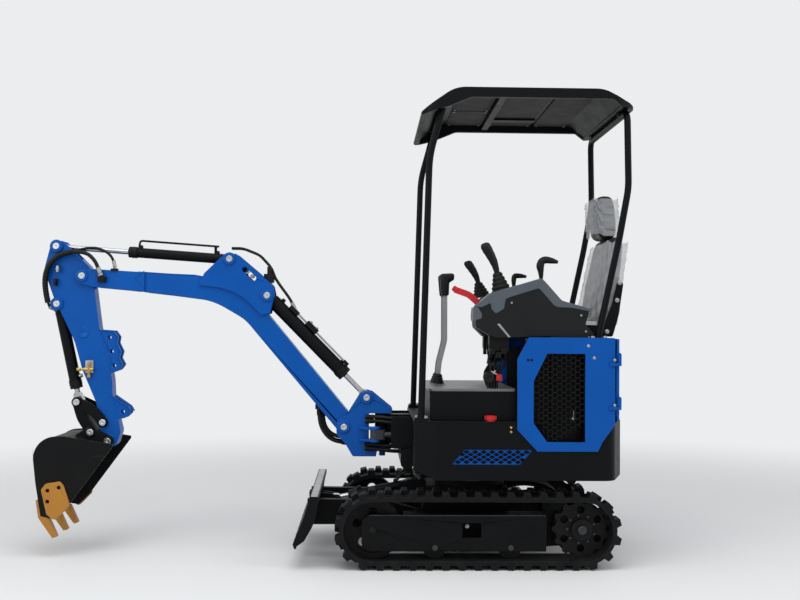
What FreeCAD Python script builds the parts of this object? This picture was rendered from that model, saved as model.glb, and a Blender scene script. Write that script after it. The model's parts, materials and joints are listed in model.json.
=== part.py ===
import FreeCAD, Part
import math
import os

import Sketcher
from FreeCAD import Placement, Rotation, Vector

doc = FreeCAD.newDocument("mini_excavator")

# Driving dimensions in millimetres, degrees or counts.
# Columns: name, value, what it is. Positions are given in the frame of the machine:
# X forward from the slew axis, Y to the operator's left, Z up from the ground.
SIZES = [
    ("track_pitch", 72, "pitch of the rubber track's lugs"),
    ("track_links", 38, "lugs round one track"),
    ("track_width", 180, "width of one rubber track"),
    ("track_gauge", 750, "between the middles of the two tracks"),
    ("wheel_radius", 130, "inside of the rubber belt on the idler"),
    ("belt_thickness", 18, "rubber belt without its lugs"),
    ("lug_height", 22, "height of a lug over the belt"),
    ("lug_foot", 38, "length of a lug where it leaves the belt"),
    ("lug_tip", 24, "length of a lug at its tip"),
    ("running_gap", 0.3, "gap between parts that roll or turn on each other"),
    ("side_gap", 0.3, "side clearance at pins and bosses"),
    ("rim_width", 44, "width of the idler's and rollers' running rims"),
    ("hub_radius", 40, "hub of an idler"),
    ("roller_radius", 54, "lower track roller"),
    ("roller_front_x", 190, "front lower roller"),
    ("roller_rear_x", -146, "rear lower roller"),
    ("axle_radius", 13, "axles of idlers and rollers"),
    ("sprocket_teeth", 13, "teeth of a drive sprocket"),
    ("tooth_depth", 16, "depth of a sprocket tooth"),
    ("sprocket_width", 26, "thickness of a drive sprocket"),
    ("motor_radius", 66, "travel motor housing"),
    ("motor_depth", 84, "travel motor inside the track frame"),
    ("cap_radius", 46, "final drive cover outside the sprocket"),
    ("cap_depth", 30, "final drive cover outside the sprocket"),
    ("cap_nut", 15, "nut on the final drive cover"),
    ("drive_holes", 6, "round holes in a drive sprocket"),
    ("drive_hole", 18, "radius of the holes in a drive sprocket"),
    ("drive_ring", 86, "radius of the ring of holes in a drive sprocket"),
    ("web_half", 8, "half the thickness of an idler's web"),
    ("web_rim", 106, "inside of an idler's rim"),
    ("web_holes", 5, "round holes in an idler's web"),
    ("web_hole", 21, "radius of the holes in an idler's web"),
    ("frame_width", 114, "track frame over its side plates"),
    ("frame_plate", 8, "plate of the track frames"),
    ("frame_top_z", 238, "top of a track frame"),
    ("frame_bottom_z", 78, "lower edge of a track frame's plates"),
    ("frame_nose", 48.5, "front end of a track frame before the idler's axle"),
    ("frame_tail", 161.5, "rear end of a track frame's outer plate before the sprocket's axle"),
    ("window_x", 27, "middle of the square window in the frame plate"),
    ("window_z", 170, "middle of the square window in the frame plate"),
    ("window_side", 66, "height of the window in the frame plate"),
    ("car_length", 400, "chassis box between the tracks"),
    ("car_width", 300, "chassis box between the tracks"),
    ("car_bottom_z", 196, "underside of the chassis box"),
    ("car_top_z", 322, "top of the chassis box"),
    ("car_x", 30, "middle of the chassis box"),
    ("beam_length", 80, "each cross beam along the machine"),
    ("beam_spread", 306, "between the middles of the cross beams"),
    ("beam_bottom_z", 128, "underside of the cross beams"),
    ("beam_top_z", 214, "top of the cross beams"),
    ("pedestal_radius", 168, "round seat under the slew ring"),
    ("ring_bottom_z", 350, "underside of the slew ring"),
    ("ring_radius", 160, "outside of the slew ring"),
    ("ring_bore", 104, "radius of the slew ring's bore"),
    ("blade_pivot_x", 262, "pivot of the blade arms"),
    ("blade_pivot_z", 190, "pivot of the blade arms"),
    ("blade_arm_y", 186, "middle of each blade arm"),
    ("blade_arm_width", 40, "width of a blade arm"),
    ("blade_width", 930, "dozer blade"),
    ("blade_top_x", 742, "top front edge of the blade"),
    ("blade_top_z", 322, "top of the blade"),
    ("blade_foot_x", 816, "front of the cutting edge"),
    ("blade_foot_z", 94, "bottom of the cutting edge as parked"),
    ("blade_depth", 50, "depth of the blade's end plates"),
    ("blade_plate", 9, "mouldboard plate"),
    ("blade_eye_x", 664, "rod eye of the blade cylinder"),
    ("blade_eye_z", 242, "rod eye of the blade cylinder"),
    ("blade_base_x", 286, "base pin of the blade cylinder"),
    ("blade_base_z", 316, "base pin of the blade cylinder"),
    ("body_front_x", 285, "front of the upper body"),
    ("body_rear_x", -690, "middle of the tail"),
    ("body_side_y", 445, "side of the upper body"),
    ("body_front_y", 400, "end of the flat front, where its corner starts"),
    ("body_corner_x", 190, "where the front corner meets the side"),
    ("body_chin_z", 432, "lower front edge of the skirt over its slanted chin"),
    ("body_bottom_z", 391, "underside of the upper body's skirt"),
    ("deck_z", 652, "top of the deck"),
    ("deck_plate", 8, "deck plate"),
    ("deck_rear_x", -318, "rear edge of the deck"),
    ("skirt_wall", 7, "wall of the black skirt"),
    ("turntable_plate", 16, "main plate of the upper frame"),
    ("panel_top_z", 1026, "top of the side panels"),
    ("panel_wall", 6, "side panel sheet"),
    ("panel_front_x", -170, "front edge of the side panels"),
    ("panel_rear_x", -606, "rear edge of the side panels"),
    ("grille_recess", 12, "depth of the grille behind the panel"),
    ("grille_plate", 4, "grille sheet"),
    ("door_rear_x", -676, "middle of the bowed rear door"),
    ("door_wall", 16, "rear door with its folded edges"),
    ("door_gap", 5, "gap round the rear door"),
    ("door_hinge_x", -625, "hinge axis of the rear door"),
    ("door_hinge_y", 455, "hinge axis of the rear door"),
    ("hinge_pin", 4, "pins of the rear door"),
    ("box_front_x", 214, "front of the operator's floor box"),
    ("box_rear_x", -173, "rear of the operator's floor box"),
    ("box_half_y", 392, "side of the operator's floor box"),
    ("floor_z", 794, "operator's floor"),
    ("floor_plate", 12, "floor plate on the box"),
    ("seat_box_x", -322, "front wall of the engine box under the seat"),
    ("seat_box_z", 1018, "top of the engine box under the seat"),
    ("sheet_wall", 6, "sheet metal of the engine box"),
    ("post_radius", 15, "canopy post tube"),
    ("post_y", 400, "canopy posts to the sides"),
    ("roof_z", 2140, "top of the canopy"),
    ("roof_half_y", 450, "side of the canopy"),
    ("roof_front_x", 268, "front of the canopy"),
    ("roof_rear_x", -706, "rear of the canopy"),
    ("roof_skin", 6, "canopy sheet"),
    ("roof_rim", 26, "width of the rolled rim round the canopy"),
    ("roof_drop", 44, "depth of the canopy's rim"),
    ("swing_x", 420, "vertical swing axis of the boom"),
    ("swing_hub_radius", 36, "hub on the front bracket"),
    ("swing_hub_low_z", 504, "underside of the hub"),
    ("swing_hub_high_z", 656, "top of the hub"),
    ("swing_ear", 20, "thickness of the lower swing ear"),
    ("post_plate", 15, "side plates of the swing post"),
    ("post_inside", 51, "from the middle to the inner face of a side plate"),
    ("boom_half", 46, "half the width of the boom's box"),
    ("fork_plate", 12, "fork plates and cylinder bracket plates"),
    ("arm_half", 40, "half the width of the arm"),
    ("arm_plate", 10, "side plates of the arm"),
    ("boss_half", 45, "half the length of the inner bosses at the pins"),
    ("eye_half", 22, "half the width of a cylinder eye"),
    ("pin_radius", 15, "main pins"),
    ("head_radius", 21, "pin heads"),
    ("head_depth", 7, "pin heads"),
    ("foot_x", 603, "boom foot pin"),
    ("foot_z", 591, "boom foot pin"),
    ("foot_boss", 36, "boss round the boom foot pin"),
    ("post_eye_x", 496, "boom cylinder pin on the swing post"),
    ("post_eye_z", 731, "boom cylinder pin on the swing post"),
    ("boom_base_x", 975, "boom cylinder pin on the boom"),
    ("boom_base_z", 1214, "boom cylinder pin on the boom"),
    ("arm_base_x", 1155, "arm cylinder pin on the boom"),
    ("arm_base_z", 1387, "arm cylinder pin on the boom"),
    ("elbow_x", 1851, "pin between boom and arm"),
    ("elbow_z", 1301, "pin between boom and arm"),
    ("elbow_boss", 32, "boss round the pin between boom and arm"),
    ("arm_eye_x", 1976, "arm cylinder pin on the arm"),
    ("arm_eye_z", 1441, "arm cylinder pin on the arm"),
    ("tip_base_x", 1970, "bucket cylinder pin on the arm"),
    ("tip_base_z", 1167, "bucket cylinder pin on the arm"),
    ("knee_x", 1868, "pin between bucket cylinder, rocker and link"),
    ("knee_z", 702, "pin between bucket cylinder, rocker and link"),
    ("rocker_x", 1744, "rocker pin on the arm"),
    ("rocker_z", 607, "rocker pin on the arm"),
    ("link_x", 1801, "link pin on the bucket"),
    ("link_z", 561, "link pin on the bucket"),
    ("bucket_x", 1719, "bucket pin on the arm"),
    ("bucket_z", 518, "bucket pin on the arm"),
    ("link_boss", 24, "bosses of the rocker and the link"),
    ("rocker_plate", 10, "rocker plates"),
    ("bucket_width", 400, "bucket over its side walls"),
    ("bucket_wall", 8, "bucket sheet"),
    ("cutter_plate", 12, "side cutters"),
    ("cutter_hole", 9, "radius of the holes in the side cutters"),
    ("tooth_width", 36, "bucket tooth"),
    ("tooth_count", 3, "bucket teeth"),
    ("eye_radius", 24, "round of a cylinder eye"),
    ("boom_bore", 35, "outside radius of the boom cylinder"),
    ("boom_tube", 527, "boom cylinder from its base pin to its gland"),
    ("arm_bore", 26, "outside radius of the arm cylinder"),
    ("arm_tube", 483, "arm cylinder from its base pin to its gland"),
    ("tip_bore", 29, "outside radius of the bucket cylinder"),
    ("tip_tube", 407, "bucket cylinder from its base pin to its gland"),
    ("blade_bore", 24, "outside radius of the blade cylinder"),
    ("blade_tube", 292, "blade cylinder from its base pin to its gland"),
    ("swing_bore", 28, "outside radius of the swing cylinder"),
    ("swing_tube", 440, "swing cylinder from its base pin to its gland"),
    ("rod_radius", 12.5, "piston rods"),
    ("swing_base_x", -130, "base pin of the swing cylinder"),
    ("swing_base_y", 150, "base pin of the swing cylinder"),
    ("swing_eye_x", 455, "rod eye of the swing cylinder"),
    ("swing_eye_y", 108, "rod eye of the swing cylinder"),
    ("swing_cylinder_z", 560, "height of the swing cylinder"),
    ("bracket_half", 38, "half the width of the front bracket"),
    ("boom_rod_start", 172, "inner end of the boom cylinder's rod, from the base pin"),
    ("arm_rod_start", 336, "inner end of the arm cylinder's rod, from the base pin"),
    ("tip_rod_start", 98, "inner end of the bucket cylinder's rod, from the base pin"),
    ("blade_rod_start", 110, "inner end of the blade cylinder's rod, from the base pin"),
    ("swing_rod_start", 178, "inner end of the swing cylinder's rod, from the base pin"),
    ("arm_slot_half", 32, "half the gap between the arm's side plates at the cylinders"),
    ("thumb_hole", 10, "radius of the holes in the thumb bracket"),
    ("thumb_inner", 22, "from the middle to the inner face of a thumb bracket plate"),
    ("panel_low_z", 521, "lower edge of the side panels"),
    ("engine_x", -470, "middle of the engine"),
    ("engine_top_z", 860, "top of the engine"),
    ("console_y", 372, "middle of each side console"),
    ("console_width", 110, "width of a side console"),
    ("travel_lever_y", 58, "travel levers to the sides"),
    ("lever_half", 4, "half the thickness of a travel lever's flat bar"),
    ("tank_inner_y", 300, "inner side of the tanks behind the side vents"),
    ("cap_x", -55, "filler cap on the deck"),
    ("cap_y", 418, "filler cap on the deck"),
    ("filler_radius", 22, "filler cap on the deck"),
    ("cell_pitch", 42, "between the columns of a side grille's six-sided holes"),
    ("cell_rise", 48, "between the holes of one column of a side grille"),
    ("cell_half", 17, "half the width across the flats of a grille hole"),
    ("mesh_pitch", 38, "width of one diamond of the side vent's mesh"),
    ("mesh_rise", 22, "height of one diamond of the side vent's mesh"),
    ("mesh_bar", 3, "half the width of the mesh's bars, measured along X"),
    ("mouth_half", 190, "half the width of the mouth in the skirt's front"),
    ("vent_x", -61, "middle of the slanted side vent"),
    ("vent_z", 495, "middle of the slanted side vent"),
    ("vent_length", 304, "length of the slanted side vent"),
    ("vent_height", 66, "height of the slanted side vent"),
    ("vent_slant", 58, "how far the vent's top leans to the front or rear"),
]

sheet = doc.addObject("Spreadsheet::Sheet", "Sizes")
for row, (name, value, note) in enumerate(SIZES, start=1):
    sheet.set(f"A{row}", name)
    sheet.set(f"B{row}", str(value))
    sheet.set(f"C{row}", note)
    sheet.setAlias(f"B{row}", name)
doc.recompute()


class Size:
    """A length that keeps its number together with the sheet expression that gives it."""

    def __init__(self, value, text):
        self.value = float(value)
        self.text = text

    def __float__(self):
        return self.value

    def __neg__(self):
        return Size(-self.value, f"(-{self.text})")

    def __add__(self, other):
        return Size(self.value + float(other), f"({self.text} + {text_of(other)})")

    def __radd__(self, other):
        return Size(self.value + float(other), f"({text_of(other)} + {self.text})")

    def __sub__(self, other):
        return Size(self.value - float(other), f"({self.text} - {text_of(other)})")

    def __rsub__(self, other):
        return Size(float(other) - self.value, f"({text_of(other)} - {self.text})")

    def __mul__(self, other):
        return Size(self.value * float(other), f"({self.text} * {text_of(other)})")

    __rmul__ = __mul__

    def __truediv__(self, other):
        return Size(self.value / float(other), f"({self.text} / {text_of(other)})")


def text_of(length):
    """The expression of a Size, or a plain number as text in brackets."""
    return length.text if isinstance(length, Size) else f"({float(length)})"


class Sizes:
    """The sheet's cells by name, each as a Size."""

    def __getattr__(self, name):
        return Size(sheet.get(name), f"Sizes.{name}")


s = Sizes()


# Outlines. A corner is (across, up) or (across, up, radius).


def rounded(corners):
    """Lines and tangent arcs of the closed outline through these corners."""
    corners = [tuple(float(part) for part in corner) for corner in corners]
    starts, ends, middles = [], [], []
    for index, corner in enumerate(corners):
        here = Vector(corner[0], corner[1], 0)
        radius = corner[2] if len(corner) > 2 else 0
        if radius == 0:
            starts.append(here)
            ends.append(here)
            middles.append(None)
            continue
        before = Vector(*corners[index - 1][:2], 0) - here
        after = Vector(*corners[(index + 1) % len(corners)][:2], 0) - here
        half = before.getAngle(after) / 2
        before.normalize()
        after.normalize()
        reach = radius / math.tan(half)
        bisector = (before + after).normalize()
        centre = here + bisector * (radius / math.sin(half))
        starts.append(here + before * reach)
        ends.append(here + after * reach)
        middles.append(centre - bisector * radius)
    edges = []
    for index, middle in enumerate(middles):
        if middle is not None:
            edges.append(Part.Arc(starts[index], middle, ends[index]))
        following = starts[(index + 1) % len(starts)]
        if ends[index].distanceToPoint(following) > 0.001:
            edges.append(Part.LineSegment(ends[index], following))
    return edges


def flat(point):
    """An (across, up) pair as a vector."""
    return Vector(float(point[0]), float(point[1]), 0)


def bar(start, end, start_half, end_half):
    """Corners of a straight bar with round ends of these half widths."""
    a, b = flat(start), flat(end)
    wide, narrow = float(start_half), float(end_half)
    slope = (wide - narrow) / (b - a).Length
    level = math.sqrt(1 - slope * slope)
    along = (b - a).normalize()
    left = Vector(-along.y, along.x, 0)
    low, high = left * (wide * (1 + slope) / level), left * (narrow * (1 - slope) / level)
    corners = [(a - along * wide - low, wide), (b + along * narrow - high, narrow),
               (b + along * narrow + high, narrow), (a - along * wide + low, wide)]
    return [(point.x, point.y, radius) for point, radius in corners]


def bow_bar(start, end, half_width, bow, sweep):
    """Corners of a bar with round ends that bends to its left at mid length."""
    a, b, half = flat(start), flat(end), float(half_width)
    side = Vector(a.y - b.y, b.x - a.x, 0).normalize()
    knee = (a + b) / 2 + side * bow
    first, second = (knee - a).normalize(), (b - knee).normalize()
    first_left = Vector(-first.y, first.x, 0)
    second_left = Vector(-second.y, second.x, 0)
    mitre = side * (half / side.dot(first_left))
    inside, outside = (sweep - half, sweep + half) if bow > 0 else (sweep + half, sweep - half)
    corners = [(a - (first + first_left) * half, half), (knee - mitre, inside),
               (b + (second - second_left) * half, half), (b + (second + second_left) * half, half),
               (knee + mitre, outside), (a - (first - first_left) * half, half)]
    return [(point.x, point.y, radius) for point, radius in corners]


# Sketches lie on a body's own planes. Columns: sketch plane, its role in the body's origin,
# and the sign of its normal along the axis that the sketch is pushed out on.
PLANES = {"side": ("XZ_Plane", -1), "plan": ("XY_Plane", 1), "front": ("YZ_Plane", 1)}


def new_body(label):
    """An empty body; its Label is the name of the piece."""
    body = doc.addObject("PartDesign::Body", label)
    body.Label = label
    body.AllowCompound = True
    return body


def add_sketch(body, plane, loops, height):
    """A sketch of outlines and (across, up, radius) circles at a height over the plane."""
    role, sign = PLANES[plane]
    support = next(item for item in body.Origin.OriginFeatures if item.Role == role)
    sketch = body.newObject("Sketcher::SketchObject", "outline")
    sketch.AttachmentSupport = [(support, "")]
    sketch.MapMode = "FlatFace"
    sketch.setExpression("AttachmentOffset.Base.z", f"{sign} * {text_of(height)}")
    for loop in loops:
        if isinstance(loop, tuple):
            add_circle(sketch, *loop)
        else:
            sketch.addGeometry(rounded(loop), False)
    return sketch


def add_circle(sketch, across, up, radius):
    """A circle whose radius follows the sheet."""
    circle = Part.Circle(Vector(float(across), float(up), 0), Vector(0, 0, 1), float(radius))
    index = sketch.addGeometry(circle, False)
    number = sketch.addConstraint(Sketcher.Constraint("Radius", index, float(radius)))
    sketch.setExpression(f"Constraints[{number}]", text_of(radius))


def slab(body, plane, loops, low, high):
    """Material inside the outlines between two heights over the plane."""
    sign = PLANES[plane][1]
    pad = body.newObject("PartDesign::Pad", "slab")
    pad.Profile = add_sketch(body, plane, loops, low if sign > 0 else high)
    pad.setExpression("Length", f"{text_of(high)} - {text_of(low)}")
    body.Tip = pad


def cut(body, plane, loops, low, high):
    """Cuts the outlines out of the body between two heights over the plane."""
    sign = PLANES[plane][1]
    pocket = body.newObject("PartDesign::Pocket", "cut")
    pocket.Profile = add_sketch(body, plane, loops, high if sign > 0 else low)
    pocket.setExpression("Length", f"{text_of(high)} - {text_of(low)}")
    body.Tip = pocket


def pair(body, plane, loops, inner, outer, work=slab):
    """The same slab or cut on both sides of the middle plane."""
    work(body, plane, loops, inner, outer)
    work(body, plane, loops, -outer, -inner)


def turn(body, profile):
    """Material turned round the body's X axis from an outline of (along, radius) corners."""
    revolution = body.newObject("PartDesign::Revolution", "turned")
    revolution.Profile = add_sketch(body, "plan", [profile], 0)
    revolution.ReferenceAxis = (revolution.Profile[0], ["H_Axis"])
    revolution.Angle = 360
    body.Tip = revolution


def shaft(steps):
    """Corners of the half section of a stepped shaft; steps are (from, to, radius)."""
    corners = [(steps[0][0], 0)]
    for start, end, radius in steps:
        corners += [(start, radius), (end, radius)]
    corners.append((steps[-1][1], 0))
    return corners


def stand(body, x, y, z):
    """Turns a body's X axis to the machine's Y axis and moves it to a point."""
    place = Placement(Vector(float(x), float(y), float(z)), Rotation(Vector(0, 0, 1), 90))
    body.Placement = place
    body.setExpression("Placement.Base.x", text_of(x))
    body.setExpression("Placement.Base.y", text_of(y))
    body.setExpression("Placement.Base.z", text_of(z))
    return body


def aim(body, start, end):
    """Lays a body's X axis from one (x, y, z) point to another, its eyes' pins kept in that plane."""
    origin = Vector(*(float(part) for part in start))
    run = Vector(*(float(part) for part in end)) - origin
    if abs(run.z) < 0.001:
        yaw = Rotation(Vector(0, 0, 1), math.degrees(math.atan2(run.y, run.x)))
        body.Placement = Placement(origin, yaw * Rotation(Vector(1, 0, 0), 90))
    else:
        pitch = Rotation(Vector(0, 1, 0), -math.degrees(math.atan2(run.z, run.x)))
        body.Placement = Placement(origin, pitch)
    return body


def compound(label, members):
    """Separate solids that share one node."""
    result = doc.addObject("Part::Compound", label)
    result.Links = members
    result.Label = label
    return result


def both_sides(label, source):
    """One node of a piece and its mirror image on the other side of the machine."""
    other = doc.addObject("Part::Mirroring", "mirror_image")
    other.Source = source
    other.Normal = Vector(0, 1, 0)
    return compound(label, [source, other])


def computed(label, shape):
    """A piece whose shape is worked out here."""
    result = doc.addObject("Part::Feature", label)
    result.Shape = shape
    result.Label = label
    return result


def boxed(body, x, y, z):
    """A block between (low, high) limits along X, Y and Z."""
    corners = [(x[0], z[0]), (x[1], z[0]), (x[1], z[1]), (x[0], z[1])]
    slab(body, "side", [corners], y[0], y[1])


def boxed_cut(body, x, y, z):
    """Cuts a block between (low, high) limits along X, Y and Z out of the body."""
    corners = [(x[0], z[0]), (x[1], z[0]), (x[1], z[1]), (x[0], z[1])]
    cut(body, "side", [corners], y[0], y[1])


def tube(points, radius):
    """A round bar along straight runs joined by tangent arcs; points are (x, y, z, bend)."""
    spots = [Vector(*(float(part) for part in point[:3])) for point in points]
    edges, last = [], spots[0]
    for index in range(1, len(points) - 1):
        here, bend = spots[index], float(points[index][3])
        before = (spots[index - 1] - here).normalize()
        after = (spots[index + 1] - here).normalize()
        half = before.getAngle(after) / 2
        reach = bend / math.tan(half)
        bisector = (before + after).normalize()
        middle = here + bisector * (bend / math.sin(half) - bend)
        edges.append(Part.LineSegment(last, here + before * reach).toShape())
        edges.append(Part.Arc(here + before * reach, middle, here + after * reach).toShape())
        last = here + after * reach
    edges.append(Part.LineSegment(last, spots[-1]).toShape())
    path = Part.Wire(edges)
    ring = Part.Wire(Part.makeCircle(float(radius), spots[0], spots[1] - spots[0]))
    return path.makePipeShell([ring], True, False)


pieces = []


def keep(piece):
    """Adds a piece to those that are written."""
    pieces.append(piece)
    return piece


# Undercarriage

axle_z = s.wheel_radius + s.belt_thickness + s.lug_height
pitch_radius = float(s.wheel_radius + s.belt_thickness / 2)
loop_length = float(s.track_pitch * s.track_links)
wheel_span = (loop_length - 2 * math.pi * pitch_radius) / 2
idler_x = wheel_span / 2
track_y = s.track_gauge / 2


def loop_point(along, radius):
    """A point of the track's loop by its length along the pitch line from the bottom middle."""
    half, turned_length = wheel_span / 2, math.pi * pitch_radius
    height = float(axle_z)
    along %= loop_length
    if along < half:
        return Vector(along, 0, height - radius)
    along -= half
    if along < turned_length:
        angle = along / pitch_radius
        return Vector(half + radius * math.sin(angle), 0, height - radius * math.cos(angle))
    along -= turned_length
    if along < wheel_span:
        return Vector(half - along, 0, height + radius)
    along -= wheel_span
    if along < turned_length:
        angle = along / pitch_radius
        return Vector(-half - radius * math.sin(angle), 0, height + radius * math.cos(angle))
    return Vector(along - turned_length - half, 0, height - radius)


def belt_outline(radius, phase):
    """Side outline of the belt's outside with its lugs."""
    foot, tip = float(s.lug_foot) / 2, float(s.lug_tip) / 2
    high = radius + float(s.lug_height)
    pitch = float(s.track_pitch)
    points = []
    for number in range(int(float(s.track_links))):
        middle = (number + phase) * pitch
        points += [loop_point(middle - foot, radius), loop_point(middle - tip, high)]
        points += [loop_point(middle + tip, high), loop_point(middle + foot, radius)]
        points.append(loop_point(middle + pitch / 2, radius))
    points.append(points[0])
    return Part.makePolygon(points)


def stadium(radius):
    """Wire of the two wheels' common outline at this radius."""
    half, low = wheel_span / 2, float(axle_z) - radius
    high, middle = float(axle_z) + radius, float(axle_z)
    front = Part.Arc(Vector(half, 0, low), Vector(half + radius, 0, middle), Vector(half, 0, high))
    rear = Part.Arc(Vector(-half, 0, high), Vector(-half - radius, 0, middle), Vector(-half, 0, low))
    top = Part.LineSegment(Vector(half, 0, high), Vector(-half, 0, high))
    bottom = Part.LineSegment(Vector(-half, 0, low), Vector(half, 0, low))
    return Part.Wire([edge.toShape() for edge in (front, top, rear, bottom)])


def track_shape(side):
    """Belt with two staggered rows of lugs; side is +1 left or -1 right."""
    outside = float(s.wheel_radius + s.belt_thickness)
    half = float(s.track_width) / 2
    middle = side * float(track_y)
    rows = []
    for phase, low in ((0.0, middle if side > 0 else middle - half),
                       (0.5, middle - half if side > 0 else middle)):
        outer = Part.Face(belt_outline(outside, phase)).extrude(Vector(0, half, 0))
        inner = Part.Face(stadium(float(s.wheel_radius))).extrude(Vector(0, half, 0))
        ring = outer.cut(inner)
        ring.translate(Vector(0, low, 0))
        rows.append(ring)
    return rows[0].fuse(rows[1])


for side, label in ((1, "track_left"), (-1, "track_right")):
    keep(computed(label, track_shape(side)))

frame_half = s.frame_width / 2
frame_front, frame_rear = idler_x + s.frame_nose, s.frame_tail - idler_x
plate_low = frame_half - s.frame_plate
roller_z = axle_z - s.wheel_radius + s.roller_radius + s.running_gap


def build_track_frame():
    """Left track frame: two plates joined by a top plate, the inner one reaching to the motor."""
    body = new_body("track_frame")
    nose = [(frame_front, s.frame_bottom_z + 26, 20), (frame_front, s.frame_top_z - 26, 20)]
    low, high = s.frame_bottom_z, s.frame_top_z
    outer = [(frame_rear, low)] + [(frame_front - 30, low)] + nose
    outer += [(frame_front - 30, high), (frame_rear, high)]
    inner = [(frame_rear, low, 60), (frame_front - 30, low)] + nose
    inner += [(frame_front - 30, high), (frame_rear, high, 60)]
    flange = float(s.motor_radius) + 14
    round_off, height = flange * 0.98, float(axle_z)
    inner += [(-idler_x, height + flange), (-idler_x - flange, height + flange, round_off),
              (-idler_x - flange, height - flange, round_off), (-idler_x, height - flange)]
    window_half = s.window_side / 2
    window = [(s.window_x - window_half * 1.28, s.window_z - window_half, 6),
              (s.window_x + window_half * 1.28, s.window_z - window_half, 6),
              (s.window_x + window_half * 1.28, s.window_z + window_half, 6),
              (s.window_x - window_half * 1.28, s.window_z + window_half, 6)]
    slab(body, "side", [outer], track_y + plate_low, track_y + frame_half)
    cut(body, "side", [window], track_y + plate_low, track_y + frame_half)
    slab(body, "side", [inner], track_y - frame_half, track_y - plate_low)
    boxed(body, (frame_rear, idler_x - s.wheel_radius - 8),
          (track_y - plate_low, track_y + plate_low), (s.frame_top_z - s.frame_plate, s.frame_top_z))
    bore = s.axle_radius + s.running_gap
    bores = [(idler_x, axle_z, bore), (s.roller_front_x, roller_z, bore), (s.roller_rear_x, roller_z, bore)]
    cut(body, "side", bores, track_y - frame_half, track_y + frame_half)
    cut(body, "side", [(-idler_x, axle_z, s.motor_radius)], track_y - frame_half, track_y - plate_low)
    return body


def build_idler(side):
    """Front idler with its axle through the frame plates."""
    rim = s.wheel_radius - s.running_gap
    half, reach, web = s.rim_width / 2, plate_low - s.side_gap, s.web_half
    body = new_body(f"idler_wheel_{side}")
    section = [(reach, s.axle_radius), (reach, s.hub_radius), (web, s.hub_radius), (web, s.web_rim),
               (half, s.web_rim), (half, rim)]
    mirrored = [(-along, radius) for along, radius in reversed(section)]
    ends = [(frame_half + 5, 0), (frame_half + 5, s.axle_radius)]
    turn(body, ends + section + mirrored + [(-along, radius) for along, radius in reversed(ends)])
    ring, count = (s.hub_radius + s.web_rim) / 2, int(float(s.web_holes))
    turns = [math.radians(90 + 360 * number / count) for number in range(count)]
    cut(body, "front", [(ring * math.cos(a), ring * math.sin(a), s.web_hole) for a in turns], -web, web)
    return stand(body, Size(idler_x, str(idler_x)), track_y if side > 0 else -track_y, axle_z)


def build_roller(side, x, number):
    """Lower roller with its axle through the frame plates."""
    reach, half = plate_low - s.side_gap, s.rim_width / 2
    body = new_body(f"roller_{side}_{number}")
    turn(body, shaft([(-frame_half - 5, -reach, s.axle_radius), (-reach, -half, s.axle_radius + 9),
                      (-half, half, s.roller_radius), (half, reach, s.axle_radius + 9),
                      (reach, frame_half + 5, s.axle_radius)]))
    return stand(body, x, track_y if side > 0 else -track_y, roller_z)


def sprocket_outline():
    """Corners of the toothed rim."""
    count = int(float(s.sprocket_teeth))
    tip = float(s.wheel_radius - s.running_gap)
    root = tip - float(s.tooth_depth)
    step = 2 * math.pi / count
    corners = []
    for number in range(count):
        for share, radius in ((-0.32, root), (-0.12, tip), (0.12, tip), (0.32, root)):
            angle = (number + share) * step
            corners.append((-idler_x + radius * math.cos(angle), float(axle_z) + radius * math.sin(angle)))
    return corners


def build_sprocket(side):
    """Toothed drive sprocket with its holes, the final drive cover outside it and its nut."""
    body = new_body(f"sprocket_{side}")
    half = s.sprocket_width / 2
    middle = track_y if side > 0 else -track_y
    count = int(float(s.drive_holes))
    turns = [math.radians(30 + 360 * number / count) for number in range(count)]
    holes = [(s.drive_ring * math.cos(a) - idler_x, s.drive_ring * math.sin(a) + axle_z, s.drive_hole)
             for a in turns]
    slab(body, "side", [sprocket_outline()] + holes, middle - half, middle + half)
    for radius, start, end in ((s.cap_radius, half, half + s.cap_depth),
                               (s.cap_nut, half + s.cap_depth, half + s.cap_depth + 8)):
        heights = (middle + start, middle + end) if side > 0 else (middle - end, middle - start)
        slab(body, "side", [(-idler_x, axle_z, radius)], *heights)
    return body


def build_motor(side):
    """Travel motor from the sprocket inwards through the frame's inner plate."""
    body = new_body(f"motor_{side}")
    near = track_y - s.sprocket_width / 2
    far = near - s.motor_depth
    heights = (far, near) if side > 0 else (-near, -far)
    slab(body, "side", [(-idler_x, axle_z, s.motor_radius - s.running_gap)], *heights)
    return body


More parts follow.
